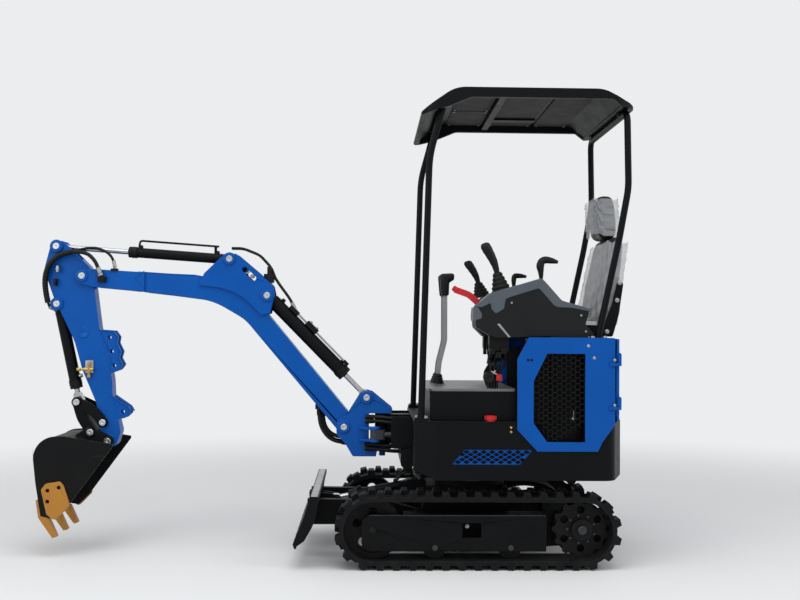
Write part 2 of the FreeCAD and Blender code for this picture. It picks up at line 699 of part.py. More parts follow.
def build_chassis():
    """Chassis box with its cross beams, slew pedestal, blade ears and cylinder ears."""
    body = new_body("chassis")
    half_length, half_width = s.car_length / 2, s.car_width / 2
    boxed(body, (s.car_x - half_length, s.car_x + half_length), (-half_width, half_width),
          (s.car_bottom_z, s.car_top_z))
    for sign in (1, -1):
        middle = s.car_x + s.beam_spread / 2 * sign
        boxed(body, (middle - s.beam_length / 2, middle + s.beam_length / 2),
              (frame_half - track_y, track_y - frame_half), (s.beam_bottom_z, s.beam_top_z))
    slab(body, "plan", [(0, 0, s.pedestal_radius)], s.car_top_z, s.ring_bottom_z)
    front = s.car_x + half_length
    ear = [(front - 60, s.blade_pivot_z - 34), (s.blade_pivot_x + 34, s.blade_pivot_z - 34, 33),
           (s.blade_pivot_x + 34, s.blade_pivot_z + 34, 33), (front - 60, s.blade_pivot_z + 34)]
    arm_low = s.blade_arm_y - s.blade_arm_width / 2 - s.side_gap
    arm_high = s.blade_arm_y + s.blade_arm_width / 2 + s.side_gap
    pair(body, "side", [ear], arm_low - 14, arm_low)
    pair(body, "side", [ear], arm_high, arm_high + 14)
    lug = [(front - 20, s.blade_base_z - 60), (s.blade_base_x, s.blade_base_z - 44),
           (s.blade_base_x + 26, s.blade_base_z - 26, 25), (s.blade_base_x + 26, s.blade_base_z + 24, 25),
           (front - 20, s.blade_base_z + 24)]
    pair(body, "side", [lug], s.eye_half + s.side_gap, s.eye_half + s.side_gap + 12)
    return body


def build_slew_ring():
    """Fixed race of the slew ring."""
    body = new_body("slew_ring")
    slab(body, "plan", [(0, 0, s.ring_radius), (0, 0, s.ring_bore)], s.ring_bottom_z,
         s.body_bottom_z - s.running_gap)
    return body


keep(build_chassis())
keep(build_slew_ring())
keep(both_sides("track_frames", build_track_frame()))
keep(compound("idlers", [build_idler(1), build_idler(-1)]))
keep(compound("track_rollers", [build_roller(side, x, number) for side in (1, -1)
                                for number, x in enumerate((s.roller_front_x, s.roller_rear_x))]))
keep(compound("sprockets", [build_sprocket(1), build_sprocket(-1)]))
keep(compound("travel_motors", [build_motor(1), build_motor(-1)]))


# Dozer blade

def build_blade():
    """Curved mouldboard with end plates, cutting edge, two arms and the cylinder ears."""
    body = new_body("blade")
    half = s.blade_width / 2
    top_x, top_z, foot_x, foot_z = s.blade_top_x, s.blade_top_z, s.blade_foot_x, s.blade_foot_z
    depth = s.blade_depth
    waist_x, waist_z = top_x + 28, (top_z + foot_z) / 2 + 20
    front = [(foot_x, foot_z + 20), (waist_x, waist_z, 420), (top_x, top_z)]
    back = [(top_x - s.blade_plate - 6, top_z), (waist_x - s.blade_plate, waist_z, 420),
            (foot_x - s.blade_plate - 6, foot_z), (foot_x - 8, foot_z)]
    slab(body, "side", [front + back], -half, half)
    boxed(body, (top_x - depth * 0.8, top_x - s.blade_plate), (-half, half), (top_z - 20, top_z))
    end = [(foot_x - 10, foot_z + 6), (waist_x - 2, waist_z, 420), (top_x - 4, top_z),
           (top_x - depth * 0.8, top_z), (waist_x - depth, waist_z - 20, 200),
           (foot_x - depth, foot_z + 34, 10)]
    pair(body, "side", [end], half - s.blade_plate, half)
    arm_low = s.blade_arm_y - s.blade_arm_width / 2
    arm_high = s.blade_arm_y + s.blade_arm_width / 2
    x, z = s.blade_pivot_x, s.blade_pivot_z
    arm = [(x - 30, z - 30, 29), (x + 60, z - 34), (waist_x - 4, z - 34), (waist_x - 4, z + 82),
           (x + 150, z + 78, 60), (x - 30, z + 30, 29)]
    pair(body, "side", [arm], arm_low, arm_high)
    ear = [(waist_x - 4, s.blade_eye_z - 40), (waist_x - 4, s.blade_eye_z + 40),
           (s.blade_eye_x - 26, s.blade_eye_z + 26, 25), (s.blade_eye_x - 26, s.blade_eye_z - 26, 25)]
    pair(body, "side", [ear], s.eye_half + s.side_gap, s.eye_half + s.side_gap + 12)
    return body


keep(build_blade())


# Cylinders. A barrel and its rod lie on the line between their two pins.

def build_barrel(label, start, end, bore, tube_length):
    """Cylinder barrel: base eye, tube with a thicker gland, and the bore for its rod."""
    body = new_body(label)
    shoulder = s.eye_radius + 10
    slab(body, "side", [bar((0, 0), (shoulder, 0), s.eye_radius, s.eye_radius * 0.8)],
         -s.eye_half, s.eye_half)
    turn(body, shaft([(shoulder - 4, tube_length - 34, bore - 2), (tube_length - 34, tube_length, bore)]))
    cut(body, "front", [(0, 0, s.rod_radius + s.running_gap)], shoulder + 30, tube_length)
    return aim(body, start, end)


def build_rod(label, start, end, rod_start):
    """Piston rod with its eye at the far pin; its other end stays deep in the barrel."""
    body = new_body(label)
    length = (Vector(*(float(part) for part in end)) - Vector(*(float(part) for part in start))).Length
    neck = length - float(s.eye_radius) - 8
    slab(body, "side", [bar((neck, 0), (length, 0), s.eye_radius * 0.7, s.eye_radius)],
         -s.eye_half, s.eye_half)
    turn(body, shaft([(rod_start, neck + 4, s.rod_radius)]))
    return aim(body, start, end)


# Columns: name, base pin, rod pin, outside radius, length of the tube, inner end of the rod.
CYLINDERS = [
    ("boom", (s.boom_base_x, 0, s.boom_base_z), (s.post_eye_x, 0, s.post_eye_z),
     s.boom_bore, s.boom_tube, s.boom_rod_start),
    ("arm", (s.arm_base_x, 0, s.arm_base_z), (s.arm_eye_x, 0, s.arm_eye_z),
     s.arm_bore, s.arm_tube, s.arm_rod_start),
    ("bucket", (s.tip_base_x, 0, s.tip_base_z), (s.knee_x, 0, s.knee_z),
     s.tip_bore, s.tip_tube, s.tip_rod_start),
    ("blade", (s.blade_base_x, 0, s.blade_base_z), (s.blade_eye_x, 0, s.blade_eye_z),
     s.blade_bore, s.blade_tube, s.blade_rod_start),
    ("swing", (s.swing_base_x, s.swing_base_y, s.swing_cylinder_z),
     (s.swing_eye_x, s.swing_eye_y, s.swing_cylinder_z), s.swing_bore, s.swing_tube, s.swing_rod_start),
]
for name, start, end, bore, tube_length, rod_start in CYLINDERS:
    keep(build_barrel(f"{name}_cylinder", start, end, bore, tube_length))
    keep(build_rod(f"{name}_cylinder_rod", start, end, rod_start))


# Upper body

def body_plan(inset=0.0):
    """Plan outline of the upper body: flat front, cut corners, straight sides, bowed tail."""
    front, corner = s.body_front_x - inset, s.body_corner_x - inset * 0.4
    side, nose = s.body_side_y - inset, s.body_front_y - inset * 0.4
    rear = s.body_rear_x + inset
    half = [(front, nose, 24), (corner, side, 40), (s.panel_rear_x + 4, side, 60), (rear, side * 0.45, 220)]
    return half + [(x, -y, r) for x, y, r in reversed(half)]


def window_outline():
    """Six-sided window of a side panel."""
    front, rear = s.panel_front_x - 73, s.panel_front_x - 302
    return [(front, 646), (front, 833), (front - 60, s.panel_top_z - 72), (rear, s.panel_top_z - 72),
            (rear, s.panel_low_z + 42), (front - 60, s.panel_low_z + 42)]


def chin_outline(rise=0.0):
    """Wedge under the slanted chin of the upper body, raised by this much."""
    corner, front = s.body_corner_x, s.body_front_x
    return [(corner - 20, s.body_bottom_z - 20), (corner - 20, s.body_bottom_z + rise - 7.6),
            (front + 20, s.body_chin_z + rise + 7.6), (front + 20, s.body_bottom_z - 20)]


def vent_outline():
    """Slanted four-sided outline of a side vent."""
    half, rise, lean = s.vent_length / 2, s.vent_height / 2, s.vent_slant / 2
    return [(s.vent_x - half + lean, s.vent_z - rise), (s.vent_x + half + lean, s.vent_z - rise),
            (s.vent_x + half - lean, s.vent_z + rise), (s.vent_x - half - lean, s.vent_z + rise)]


def build_skirt():
    """Black lower bodywork, open below and inside, with the mouth for the swing bracket."""
    body = new_body("body_skirt")
    slab(body, "plan", [body_plan()], s.body_bottom_z, s.deck_z - s.deck_plate)
    cut(body, "plan", [body_plan(s.skirt_wall)], s.body_bottom_z, s.deck_z - s.deck_plate)
    mouth_low, mouth_high = s.swing_cylinder_z - 74, s.deck_z - s.deck_plate - 14
    front = (s.body_front_x - s.skirt_wall - 6, s.body_front_x + 2)
    boxed_cut(body, front, (-s.mouth_half, s.mouth_half), (mouth_low, mouth_high))
    gap = s.bracket_half + s.running_gap
    boxed_cut(body, front, (-gap, gap), (s.body_bottom_z, s.deck_z - s.deck_plate))
    cut(body, "side", [chin_outline()], -s.body_side_y, s.body_side_y)
    outlines = [vent_outline(), window_outline()]
    pair(body, "side", outlines, s.body_side_y - s.skirt_wall - 2, s.body_side_y + 2, cut)
    return body


def build_turntable():
    """Main plate of the upper frame with the front bracket, its hub and the swing cylinder's lugs."""
    body = new_body("turntable")
    low, high = s.body_bottom_z, s.body_bottom_z + s.turntable_plate
    inset = s.skirt_wall + s.running_gap
    slab(body, "plan", [body_plan(inset), (0, 0, s.ring_bore)], low, high)
    cut(body, "side", [chin_outline()], -s.body_side_y, s.body_side_y)
    chin = [(s.body_corner_x + 38, high - 7), (s.body_front_x - inset, s.body_chin_z - 8),
            (s.body_front_x - inset, s.body_chin_z), (s.body_corner_x + 38, high)]
    slab(body, "side", [chin], -(s.body_front_y - 24), s.body_front_y - 24)
    hub_low, hub_high, half = s.swing_hub_low_z, s.swing_hub_high_z, s.bracket_half
    front, rear = s.swing_x - 26, s.body_front_x - 150
    under = s.deck_z - s.deck_plate - s.running_gap
    cheek = [(rear, high), (s.body_front_x - 50, high), (s.body_front_x - 16, high + 20),
             (s.body_front_x + 66, hub_low - 4, 20), (s.swing_x - 56, hub_low + 6), (front, hub_low + 6),
             (front, hub_high - 6), (s.body_front_x + 2, hub_high - 6), (s.body_front_x + 2, under),
             (rear, under)]
    slab(body, "side", [cheek], -half, half)
    slab(body, "plan", [(s.swing_x, 0, s.swing_hub_radius)], hub_low, hub_high)
    cut(body, "plan", [(s.swing_x, 0, s.pin_radius + s.running_gap)], hub_low, hub_high)
    seat_x, seat_y, gap = s.swing_base_x, s.swing_base_y, s.eye_half + s.side_gap
    lug = [(seat_x - 62, seat_y - 30), (seat_x + 26, seat_y - 30, 25), (seat_x + 26, seat_y + 30, 25),
           (seat_x - 62, seat_y + 30)]
    for level in (s.swing_cylinder_z - gap - 12, s.swing_cylinder_z + gap):
        slab(body, "plan", [lug], level, level + 12)
    boxed(body, (seat_x - 72, seat_x - 60), (seat_y - 30, seat_y + 30), (high, s.swing_cylinder_z + gap + 12))
    return body


def build_deck():
    """Deck plate on the skirt, in front of the engine box."""
    body = new_body("deck")
    slab(body, "plan", [body_plan()], s.deck_z - s.deck_plate, s.deck_z)
    side, height = s.body_side_y, (s.deck_z - s.deck_plate, s.deck_z)
    boxed_cut(body, (s.body_rear_x - 5, s.deck_rear_x), (-side - 5, side + 5), height)
    notch = [(s.deck_rear_x - 5, height[0]), (s.panel_front_x - 70, height[0]),
             (s.panel_front_x - 70, height[1]), (s.deck_rear_x - 5, height[1])]
    pair(body, "side", [notch], side - s.grille_plate - s.running_gap, side + 5, cut)
    return body


def build_floor_box():
    """Hollow floor box that carries the operator's floor plate and the travel levers."""
    body = new_body("floor_box")
    x, y = (s.box_rear_x, s.box_front_x), (-s.box_half_y, s.box_half_y)
    boxed(body, x, y, (s.deck_z, s.floor_z - s.floor_plate))
    inset = s.sheet_wall
    boxed_cut(body, (x[0] + inset, x[1] - inset), (y[0] + inset, y[1] - inset),
              (s.deck_z, s.floor_z - s.floor_plate - inset))
    return body


def build_floor_plate():
    """Aluminium floor plate on the floor box."""
    body = new_body("floor_plate")
    slab(body, "plan", [[(s.box_rear_x, -s.box_half_y, 12), (s.box_front_x + 6, -s.box_half_y, 30),
                         (s.box_front_x + 6, s.box_half_y, 30), (s.box_rear_x, s.box_half_y, 12)]],
         s.floor_z - s.floor_plate, s.floor_z)
    return body


def panel_outline(inset=0.0):
    """Eight-sided outline of a side panel, as seen from the left."""
    front, rear, top = s.panel_front_x - inset, s.panel_rear_x + inset, s.panel_top_z - inset
    low = s.panel_low_z + inset
    return [(front, 617), (front, 930), (front - 50, top, 8), (rear, top, 8), (rear, 640),
            (rear + 55, 565), (rear + 76, low), (s.panel_front_x - 90, low)]


def build_side_panel():
    """Left side panel: a sheet outside the skirt with its window."""
    body = new_body("side_panel")
    outside = s.body_side_y + s.panel_wall
    slab(body, "side", [panel_outline(), window_outline()], s.body_side_y, outside)
    return body


def inside_of(outline, x, z, margin):
    """Whether a point lies inside a convex outline by at least this margin."""
    corners = [(float(corner[0]), float(corner[1])) for corner in outline]
    area = sum(a[0] * b[1] - b[0] * a[1] for a, b in zip(corners, corners[1:] + corners[:1]))
    for a, b in zip(corners, corners[1:] + corners[:1]):
        run, rise = b[0] - a[0], b[1] - a[1]
        inward = (run * (z - a[1]) - rise * (x - a[0])) / math.hypot(run, rise)
        if inward * math.copysign(1, area) < margin:
            return False
    return True


def staggered(outline, pitch, rise, margin):
    """Middles of holes in columns a pitch apart, each second column shifted by half a rise."""
    xs = [float(corner[0]) for corner in outline]
    zs = [float(corner[1]) for corner in outline]
    middle_x, middle_z = (min(xs) + max(xs)) / 2, (min(zs) + max(zs)) / 2
    columns = int((max(xs) - min(xs)) / pitch / 2) + 1
    rows = int((max(zs) - min(zs)) / rise / 2) + 1
    spots = []
    for column in range(-columns, columns + 1):
        for row in range(-rows, rows + 1):
            x = middle_x + column * pitch
            z = middle_z + (row + 0.5 * (column % 2)) * rise
            if inside_of(outline, x, z, margin):
                spots.append((x, z))
    return spots


def build_grille():
    """Grille sheet of the left window with its six-sided holes, held behind the panel."""
    body = new_body("side_grille")
    face, half = s.body_side_y, float(s.cell_half)
    pitch, rise = float(s.cell_pitch), float(s.cell_rise)
    cell = [(half * 2 / math.sqrt(3) * math.cos(math.radians(60 * turn)),
             half * rise / pitch * 2 / math.sqrt(3) * math.sin(math.radians(60 * turn)))
            for turn in range(6)]
    holes = [[(x + dx, z + dz) for dx, dz in cell]
             for x, z in staggered(window_outline(), pitch, rise, half * 1.3)]
    slab(body, "side", [window_outline()] + holes, face - s.grille_plate, face)
    return body


def build_vent():
    """Mesh of the left vent: crossed bars with diamond holes between them, inside the skirt."""
    body = new_body("side_vent")
    back = s.body_side_y - s.skirt_wall
    wide, high = float(s.mesh_pitch) / 2, float(s.mesh_rise) / 2
    share = 1 - float(s.mesh_bar) / wide
    outline = vent_outline()
    frame = [(outline[0][0] - 12, outline[0][1] - 8), (outline[1][0] + 8, outline[1][1] - 8),
             (outline[2][0] + 12, outline[2][1] + 8), (outline[3][0] - 8, outline[3][1] + 8)]
    diamond = [(wide * share, 0), (0, high * share), (-wide * share, 0), (0, -high * share)]
    holes = [[(x + dx, z + dz) for dx, dz in diamond]
             for x, z in staggered(frame, wide, high * 2, high)]
    slab(body, "side", [frame] + holes, back - 3, back)
    return body


def build_tank():
    """Left tank under the deck, as a plain block behind the vent."""
    body = new_body("tank")
    low, high = s.body_bottom_z + s.turntable_plate, s.deck_z - s.deck_plate
    boxed(body, (-230, 110), (s.tank_inner_y, s.body_side_y - s.skirt_wall - 8), (low, high))
    return body


def build_filler_cap():
    """Red filler cap on its short neck, on the deck."""
    body = new_body("filler_cap")
    slab(body, "plan", [(s.cap_x, s.cap_y, s.filler_radius - 5)], s.deck_z, s.deck_z + 8)
    slab(body, "plan", [(s.cap_x, s.cap_y, s.filler_radius)], s.deck_z + 8, s.deck_z + 24)
    return body


def build_seat_box():
    """Folded sheet: front wall and top of the engine box under the seat."""
    body = new_body("engine_box")
    wall = s.sheet_wall
    front, top = s.seat_box_x, s.seat_box_z
    fold = [(front, s.deck_z), (front, top, 30), (s.panel_rear_x, top), (s.panel_rear_x, top - wall),
            (front - wall, top - wall, 24), (front - wall, s.deck_z)]
    half = s.body_side_y - s.grille_plate - 2
    slab(body, "side", [fold], -half, half)
    return body


def build_engine():
    """Engine as one plain block on the main plate."""
    body = new_body("engine")
    boxed(body, (s.engine_x - 130, s.engine_x + 130), (-210, 210),
          (s.body_bottom_z + s.turntable_plate, s.engine_top_z))
    return body


# Heights of the undersides of the door's two hinge knuckles.
HINGE_LEVELS = (s.deck_z + 70, s.panel_top_z - 110)


def build_door():
    """Bowed rear door between the side panels, with its two hinge knuckles on the left."""
    body = new_body("rear_door")
    half, wall, rear = s.body_side_y - s.door_gap, s.door_wall, s.door_rear_x
    edge, shoulder = s.panel_rear_x - s.door_gap - wall, (s.body_side_y - s.door_gap) * 0.3
    bow = [(edge, half, 8), (rear, shoulder, 260), (rear, -shoulder, 260), (edge, -half, 8),
           (edge + wall, -half), (rear + wall, -shoulder, 240), (rear + wall, shoulder, 240),
           (edge + wall, half)]
    slab(body, "plan", [bow], s.deck_z + s.door_gap, s.panel_top_z - s.door_gap)
    for level in HINGE_LEVELS:
        slab(body, "plan", [bar((edge + 10, half - 8), (s.door_hinge_x, s.door_hinge_y), 8, 8)],
             level, level + 40)
        cut(body, "plan", [(s.door_hinge_x, s.door_hinge_y, s.hinge_pin + s.running_gap)],
            level, level + 40)
    return body


def build_door_hinges():
    """Brackets on the left side panel with the pins that carry the rear door."""
    brackets = []
    for number, level in enumerate(HINGE_LEVELS):
        body = new_body(f"door_hinge_{number}")
        outside = s.body_side_y + s.panel_wall + s.running_gap + 3.4
        top = level - s.running_gap
        strap = bar((s.panel_rear_x + 24, outside), (s.door_hinge_x, outside), 3.4, 3.4)
        slab(body, "plan", [strap], top - 14, top)
        slab(body, "plan", [(s.door_hinge_x, s.door_hinge_y, 8)], top - 14, top)
        slab(body, "plan", [(s.door_hinge_x, s.door_hinge_y, s.hinge_pin)], top, level + 44)
        brackets.append(body)
    return compound("door_hinges", brackets)


# Columns: label, height of the foot, thickness of its plate, plan corners of the left foot plate as
# (x, y), the left half of the hoop's middle line as (x, z, bend radius), and the top of its saddles
# behind and before the tube. The far side mirrors it.
HOOPS = [
    ("front_hoop", s.deck_z, 13, [(222, 372), (281, 372), (281, 400), (222, 428)],
     [(254, s.deck_z + 4, 0), (223, s.roof_z - 304, 500), (160, s.roof_z - 68, 46)],
     (s.roof_z - 24, s.roof_z - 54)),
    ("rear_hoop", s.seat_box_z, 8, [(-578, 368), (-498, 368), (-498, 432), (-578, 432)],
     [(-538, s.seat_box_z + 4, 0), (-634, s.roof_z - 670, 600), (-676, s.roof_z - 438, 400),
      (-670, s.roof_z - 95, 46)],
     (s.roof_z - 78, s.roof_z - 78)),
]


def build_canopy_frame():
    """Front and rear hoop of bent tube with their foot plates."""
    hoops = []
    for label, foot, thick, plate, line, tops in HOOPS:
        side = float(s.post_y)
        route = [(x, side, z, bend) for x, z, bend in line]
        route += [(x, -side, z, bend) for x, z, bend in reversed(line)]
        hoop = tube(route, s.post_radius)
        for sign in (1, -1):
            corners = [Vector(x, sign * y, float(foot)) for x, y in plate + plate[:1]]
            hoop = hoop.fuse(Part.Face(Part.makePolygon(corners)).extrude(Vector(0, 0, thick)))
        hoops.append(computed(label, hoop))
    return compound("canopy_frame", hoops)


def build_roof():
    """Canopy tray: a sheet with a rolled rim, open below, with four saddles for the hoops."""
    body = new_body("canopy_roof")
    half, top = s.roof_half_y, s.roof_z
    front, rear, rim, skin = s.roof_front_x, s.roof_rear_x, s.roof_rim, s.roof_skin
    low = top - s.roof_drop
    outside = [(front - 14, low - 76), (front, low - 66, 9), (front - 158, top, 150),
               (rear + 150, top, 140), (rear + 56, low - 4, 30), (rear, low - 24), (rear, low - 36),
               (rear + 66, low - 36), (rear + 110, low, 20), (front - 230, low, 60),
               (front - 120, low - 46, 100)]
    inside = [(rear + 72, low - 80), (rear + 72, low - 22, 10), (rear + 154, top - skin, 130),
              (front - 161, top - skin, 140), (front - rim - 6, low - 54, 6), (front - rim - 16, low - 90)]
    slab(body, "side", [outside], -half, half)
    cut(body, "side", [inside], rim - half, half - rim)
    around = [(rear - 5, -half - 5), (front + 5, -half - 5), (front + 5, half + 5), (rear - 5, half + 5)]
    corners = [(rear, -half, 100), (front, -half, 85), (front, half, 85), (rear, half, 100)]
    cut(body, "plan", [around, corners], low - 90, top + 5)
    for label, foot, thick, plate, line, tops in HOOPS:
        x, z = line[-1][:2]
        for middle in (300, -300):
            saddle = [(x - 22, z), (x - 22, tops[0]), (x + 22, tops[1]), (x + 22, z)]
            slab(body, "side", [saddle], middle - 20, middle + 20)
            cut(body, "side", [(x, z, s.post_radius)], middle - 20, middle + 20)
    return body


for builder in (build_turntable, build_skirt, build_deck, build_floor_box, build_floor_plate,
                build_seat_box, build_engine, build_door, build_door_hinges, build_canopy_frame,
                build_roof, build_filler_cap):
    keep(builder())
for label, builder in (("side_panels", build_side_panel), ("side_grilles", build_grille),
                       ("side_vents", build_vent), ("tanks", build_tank)):
    keep(both_sides(label, builder()))


# Seat and controls

def build_seat():
    """Cushion, backrest and headrest of the seat as plain soft solids."""
    cushion = new_body("cushion")
    side = [(-160, 1018.3, 20), (-160, 1106, 34), (-540, 1084, 30), (-540, 1018.3, 10)]
    slab(cushion, "side", [side], -225, 225)
    back = new_body("backrest")
    side = [(-540.3, 1018.3, 10), (-540.3, 1100, 40), (-566, 1300, 300), (-604, 1512, 40), (-692, 1512, 30),
            (-714, 1320, 120), (-650, 1120, 200), (-612, 1018.3, 10)]
    slab(back, "side", [side], -220, 220)
    head = new_body("headrest")
    side = [(-604, 1512.3, 16), (-592, 1700, 34), (-668, 1712, 34), (-692, 1512.3, 16)]
    slab(head, "side", [side], -120, 120)
    return [cushion, back, head]


# Corners of a side console as (x, z, radius), seen from the left.
CONSOLE = [(21, 1152, 12), (-54, 1218, 30), (-278, 1287, 20), (-303, 1262), (-368, 1189, 40),
           (-499, 1152, 20), (-476, 1083), (-518, 1040), (-492, 1034), (-492, s.seat_box_z),
           (-340, s.seat_box_z), (-340, 1030), (-72, 1022, 20), (12, 1070, 20)]


def build_console():
    """Left side console."""
    body = new_body("console")
    slab(body, "side", [CONSOLE], s.console_y - s.console_width / 2, s.console_y + s.console_width / 2)
    return body


def build_joysticks():
    """Left and right joystick: grip, stalk and boot on its console."""
    sticks = []
    for side in (1, -1):
        stick = new_body(f"joystick_{side}")
        turn(stick, shaft([(0, 30, 34), (30, 96, 9), (96, 230, 19)]))
        foot = Vector(-80, side * float(s.console_y), 1226.3)
        stick.Placement = Placement(foot, Rotation(Vector(1, 0, 0), Vector(69, 0, 224)))
        sticks.append(stick)
    return compound("joysticks", sticks)


def build_travel_levers():
    """Two bent flat travel levers with their feet and grips."""
    levers = []
    middle = [(160, s.floor_z), (150, s.floor_z + 106, 150), (124, s.floor_z + 210, 150), (125, 1232)]
    bar_outline = [(x - 11, z, *r) for x, z, *r in middle] + [(x + 11, z, *r) for x, z, *r in middle[::-1]]
    grip = [(110, 1222, 8), (140, 1222, 8), (149, 1322, 12), (82, 1326, 12), (86, 1296, 10), (108, 1284, 14)]
    foot = [(122, s.floor_z), (188, s.floor_z), (188, s.floor_z + 6), (122, s.floor_z + 6)]
    for side in (1, -1):
        lever = new_body(f"travel_lever_{side}")
        y = s.travel_lever_y if side > 0 else -s.travel_lever_y
        for outline, half in ((bar_outline, s.lever_half), (foot, 20), (grip, 14)):
            slab(lever, "side", [outline], y - half, y + half)
        levers.append(lever)
    return compound("travel_levers", levers)


def build_lock_lever():
    """Curved safety lever on the left console."""
    body = new_body("lock_lever")
    side = s.console_y - s.console_width / 2
    slab(body, "side", [bow_bar((-13, 1176), (92, 1238), 14, 12, 70)], side - 22, side)
    return body


# Columns: side, x of the stem, z of its foot, top of the stem, then the corners of its handle.
HAND_LEVERS = [
    (1, -284, 1260, 1362, [(-274, 1352, 10), (-274, 1388, 14), (-352, 1386, 14), (-362, 1358, 12),
                           (-320, 1350, 20)]),
    (-1, -262, 1262, 1326, [(-240, 1318, 10), (-240, 1350, 14), (-312, 1350, 14), (-322, 1326, 12)]),
]


def build_hand_levers():
    """Two short levers with flat handles: the blade's on the left console, the swing's on the right."""
    levers = []
    for side, x, foot, stem_top, handle in HAND_LEVERS:
        lever = new_body(f"hand_lever_{side}")
        y = side * (s.console_y - 27)
        slab(lever, "plan", [(x, y, 7)], foot, stem_top)
        slab(lever, "plan", [(x, y, 16)], foot, foot + 36)
        slab(lever, "side", [handle], y - 17, y + 17)
        cut(lever, "side", [CONSOLE], y - 20, y + 20)
        levers.append(lever)
    return compound("hand_levers", levers)


def build_control_valve():
    """Left control valve under its console, with the stubs of its hoses."""
    body = new_body("control_valve")
    y = (s.console_y - 27, s.console_y + 27)
    boxed(body, (-138, -50), y, (962, 1031))
    for x in (-124, -102, -80, -60):
        slab(body, "plan", [(x, s.console_y - 12, 8), (x, s.console_y + 12, 8)], 930, 962)
    cut(body, "side", [CONSOLE], *y)
    return body


seat_pieces = build_seat()
for label, piece in zip(("seat_cushion", "seat_backrest", "headrest"), seat_pieces):
    piece.Label = label
    keep(piece)
keep(both_sides("consoles", build_console()))
keep(build_joysticks())
keep(build_travel_levers())
keep(build_lock_lever())
keep(build_hand_levers())
keep(both_sides("control_valves", build_control_valve()))


# Swing post

def pin(body, x, z, inner, outer):
    """A pin through two lugs whose outer faces lie at this height, with a head on each."""
    slab(body, "side", [(x, z, s.pin_radius)], -inner, inner)
    pair(body, "side", [(x, z, s.head_radius)], outer, outer + s.head_depth)


def build_swing_post():
    """Two side plates on a core that turns on the hub, with ears for boom and cylinders."""
    body = new_body("swing_post")
    inside, outside = s.post_inside, s.post_inside + s.post_plate
    low, high, ear = s.swing_hub_low_z - s.side_gap, s.swing_hub_high_z + s.side_gap, s.swing_ear
    inner_x, back, boss = s.swing_x + s.swing_hub_radius + 28, s.foot_x - 68, s.foot_boss
    plate = [(s.post_eye_x - 25, s.post_eye_z + 27, 14), (s.swing_x - 48, high + 22, 10),
             (s.swing_x - 40, high), (inner_x, high), (inner_x, low), (s.swing_x + 20, low),
             (s.swing_x + 30, low - 52), (560, low - 52, 12), (s.foot_x - 6, s.foot_z - 78, 40),
             (s.foot_x + boss, s.foot_z - boss, 34), (s.foot_x + boss, s.foot_z + boss, 34),
             (s.foot_x - 15, s.foot_z + 58), (s.post_eye_x + 26, s.post_eye_z + 27, 25)]
    pair(body, "side", [plate], inside, outside)
    core = [(inner_x, low - 20), (inner_x, high + 20), (back, high + 20), (back, low - 50),
            (inner_x, low - 50)]
    slab(body, "side", [core], -inside, inside)
    round_ear = bar((s.swing_x, 0), (inner_x - 16, 0), 45, 50.9)
    slab(body, "plan", [round_ear], low - ear, low)
    slab(body, "plan", [round_ear], high, high + ear)
    slab(body, "plan", [(s.swing_x, 0, s.pin_radius)], low - ear - 34, high + ear + 10)
    slab(body, "plan", [(s.swing_x, 0, s.head_radius)], high + ear, high + ear + 10)
    pair(body, "side", [(s.post_eye_x, s.post_eye_z, 26)], s.eye_half + s.side_gap, inside)
    pair(body, "side", [(s.post_eye_x, s.post_eye_z, s.head_radius)], outside, outside + s.head_depth)
    pin(body, s.foot_x, s.foot_z, inside, outside)
    gap, level = s.eye_half + s.side_gap, s.swing_cylinder_z
    lug = bar((s.swing_eye_x + 56, outside - 4), (s.swing_eye_x, s.swing_eye_y), 24, 24)
    for floor, head in ((level - gap - 12, level - gap - 15), (level + gap, level + gap + 12)):
        slab(body, "plan", [lug], floor, floor + 12)
        slab(body, "plan", [(s.swing_eye_x, s.swing_eye_y, s.head_radius)], head, head + 3)
    return body


# Boom

def build_boom():
    """Bent box boom with its foot boss and the front fork, and the pin between the fork's plates."""
    body = new_body("boom")
    outline = [(614, 552), (1079, 1099, 200), (1231, 1186, 300), (1590, 1231), (1620, 1275), (1590, 1322),
               (1300, 1305, 250), (1130, 1283, 200), (1000, 1162, 400), (584, 661)]
    half, outer, boss = s.boom_half, s.boom_half + s.fork_plate, s.elbow_boss
    slab(body, "side", [outline], -half, half)
    width = s.post_inside - s.side_gap
    slab(body, "side", [(s.foot_x, s.foot_z, s.foot_boss)], -width, width)
    cut(body, "side", [(s.foot_x, s.foot_z, s.pin_radius + s.running_gap)], -width, width)
    x, z, round_off = s.elbow_x, s.elbow_z, s.elbow_boss * 0.96
    fork = [(1556, 1227), (x - 60, z - boss - 22, 60), (x + boss, z - boss, round_off),
            (x + boss, z + boss, round_off), (x - 60, z + boss, 60), (1556, 1320)]
    pair(body, "side", [fork], half, outer)
    pin(body, x, z, half, outer)
    return body


def build_boom_bracket():
    """Two plates on the boom that carry the boom cylinder and the arm cylinder."""
    body = new_body("cylinder_bracket")
    half, outer = s.boom_half, s.boom_half + s.fork_plate
    plate = [(1300, 1262), (1274, 1318, 20), (1178, 1412, 20), (1122, 1412, 20), (1018, 1325),
             (948, 1262, 20), (938, 1220, 20), (960, 1130), (1000, 1120), (1120, 1240, 300)]
    slot = bar((1064, 1319), (1039, 1296), 12, 12)
    pair(body, "side", [plate, slot, (1082, 1337, 13)], half, outer)
    for x, z in ((s.boom_base_x, s.boom_base_z), (s.arm_base_x, s.arm_base_z)):
        pair(body, "side", [(x, z, 24)], s.eye_half + s.side_gap, half)
        pair(body, "side", [(x, z, s.head_radius)], outer, outer + s.head_depth)
    return body


# Arm

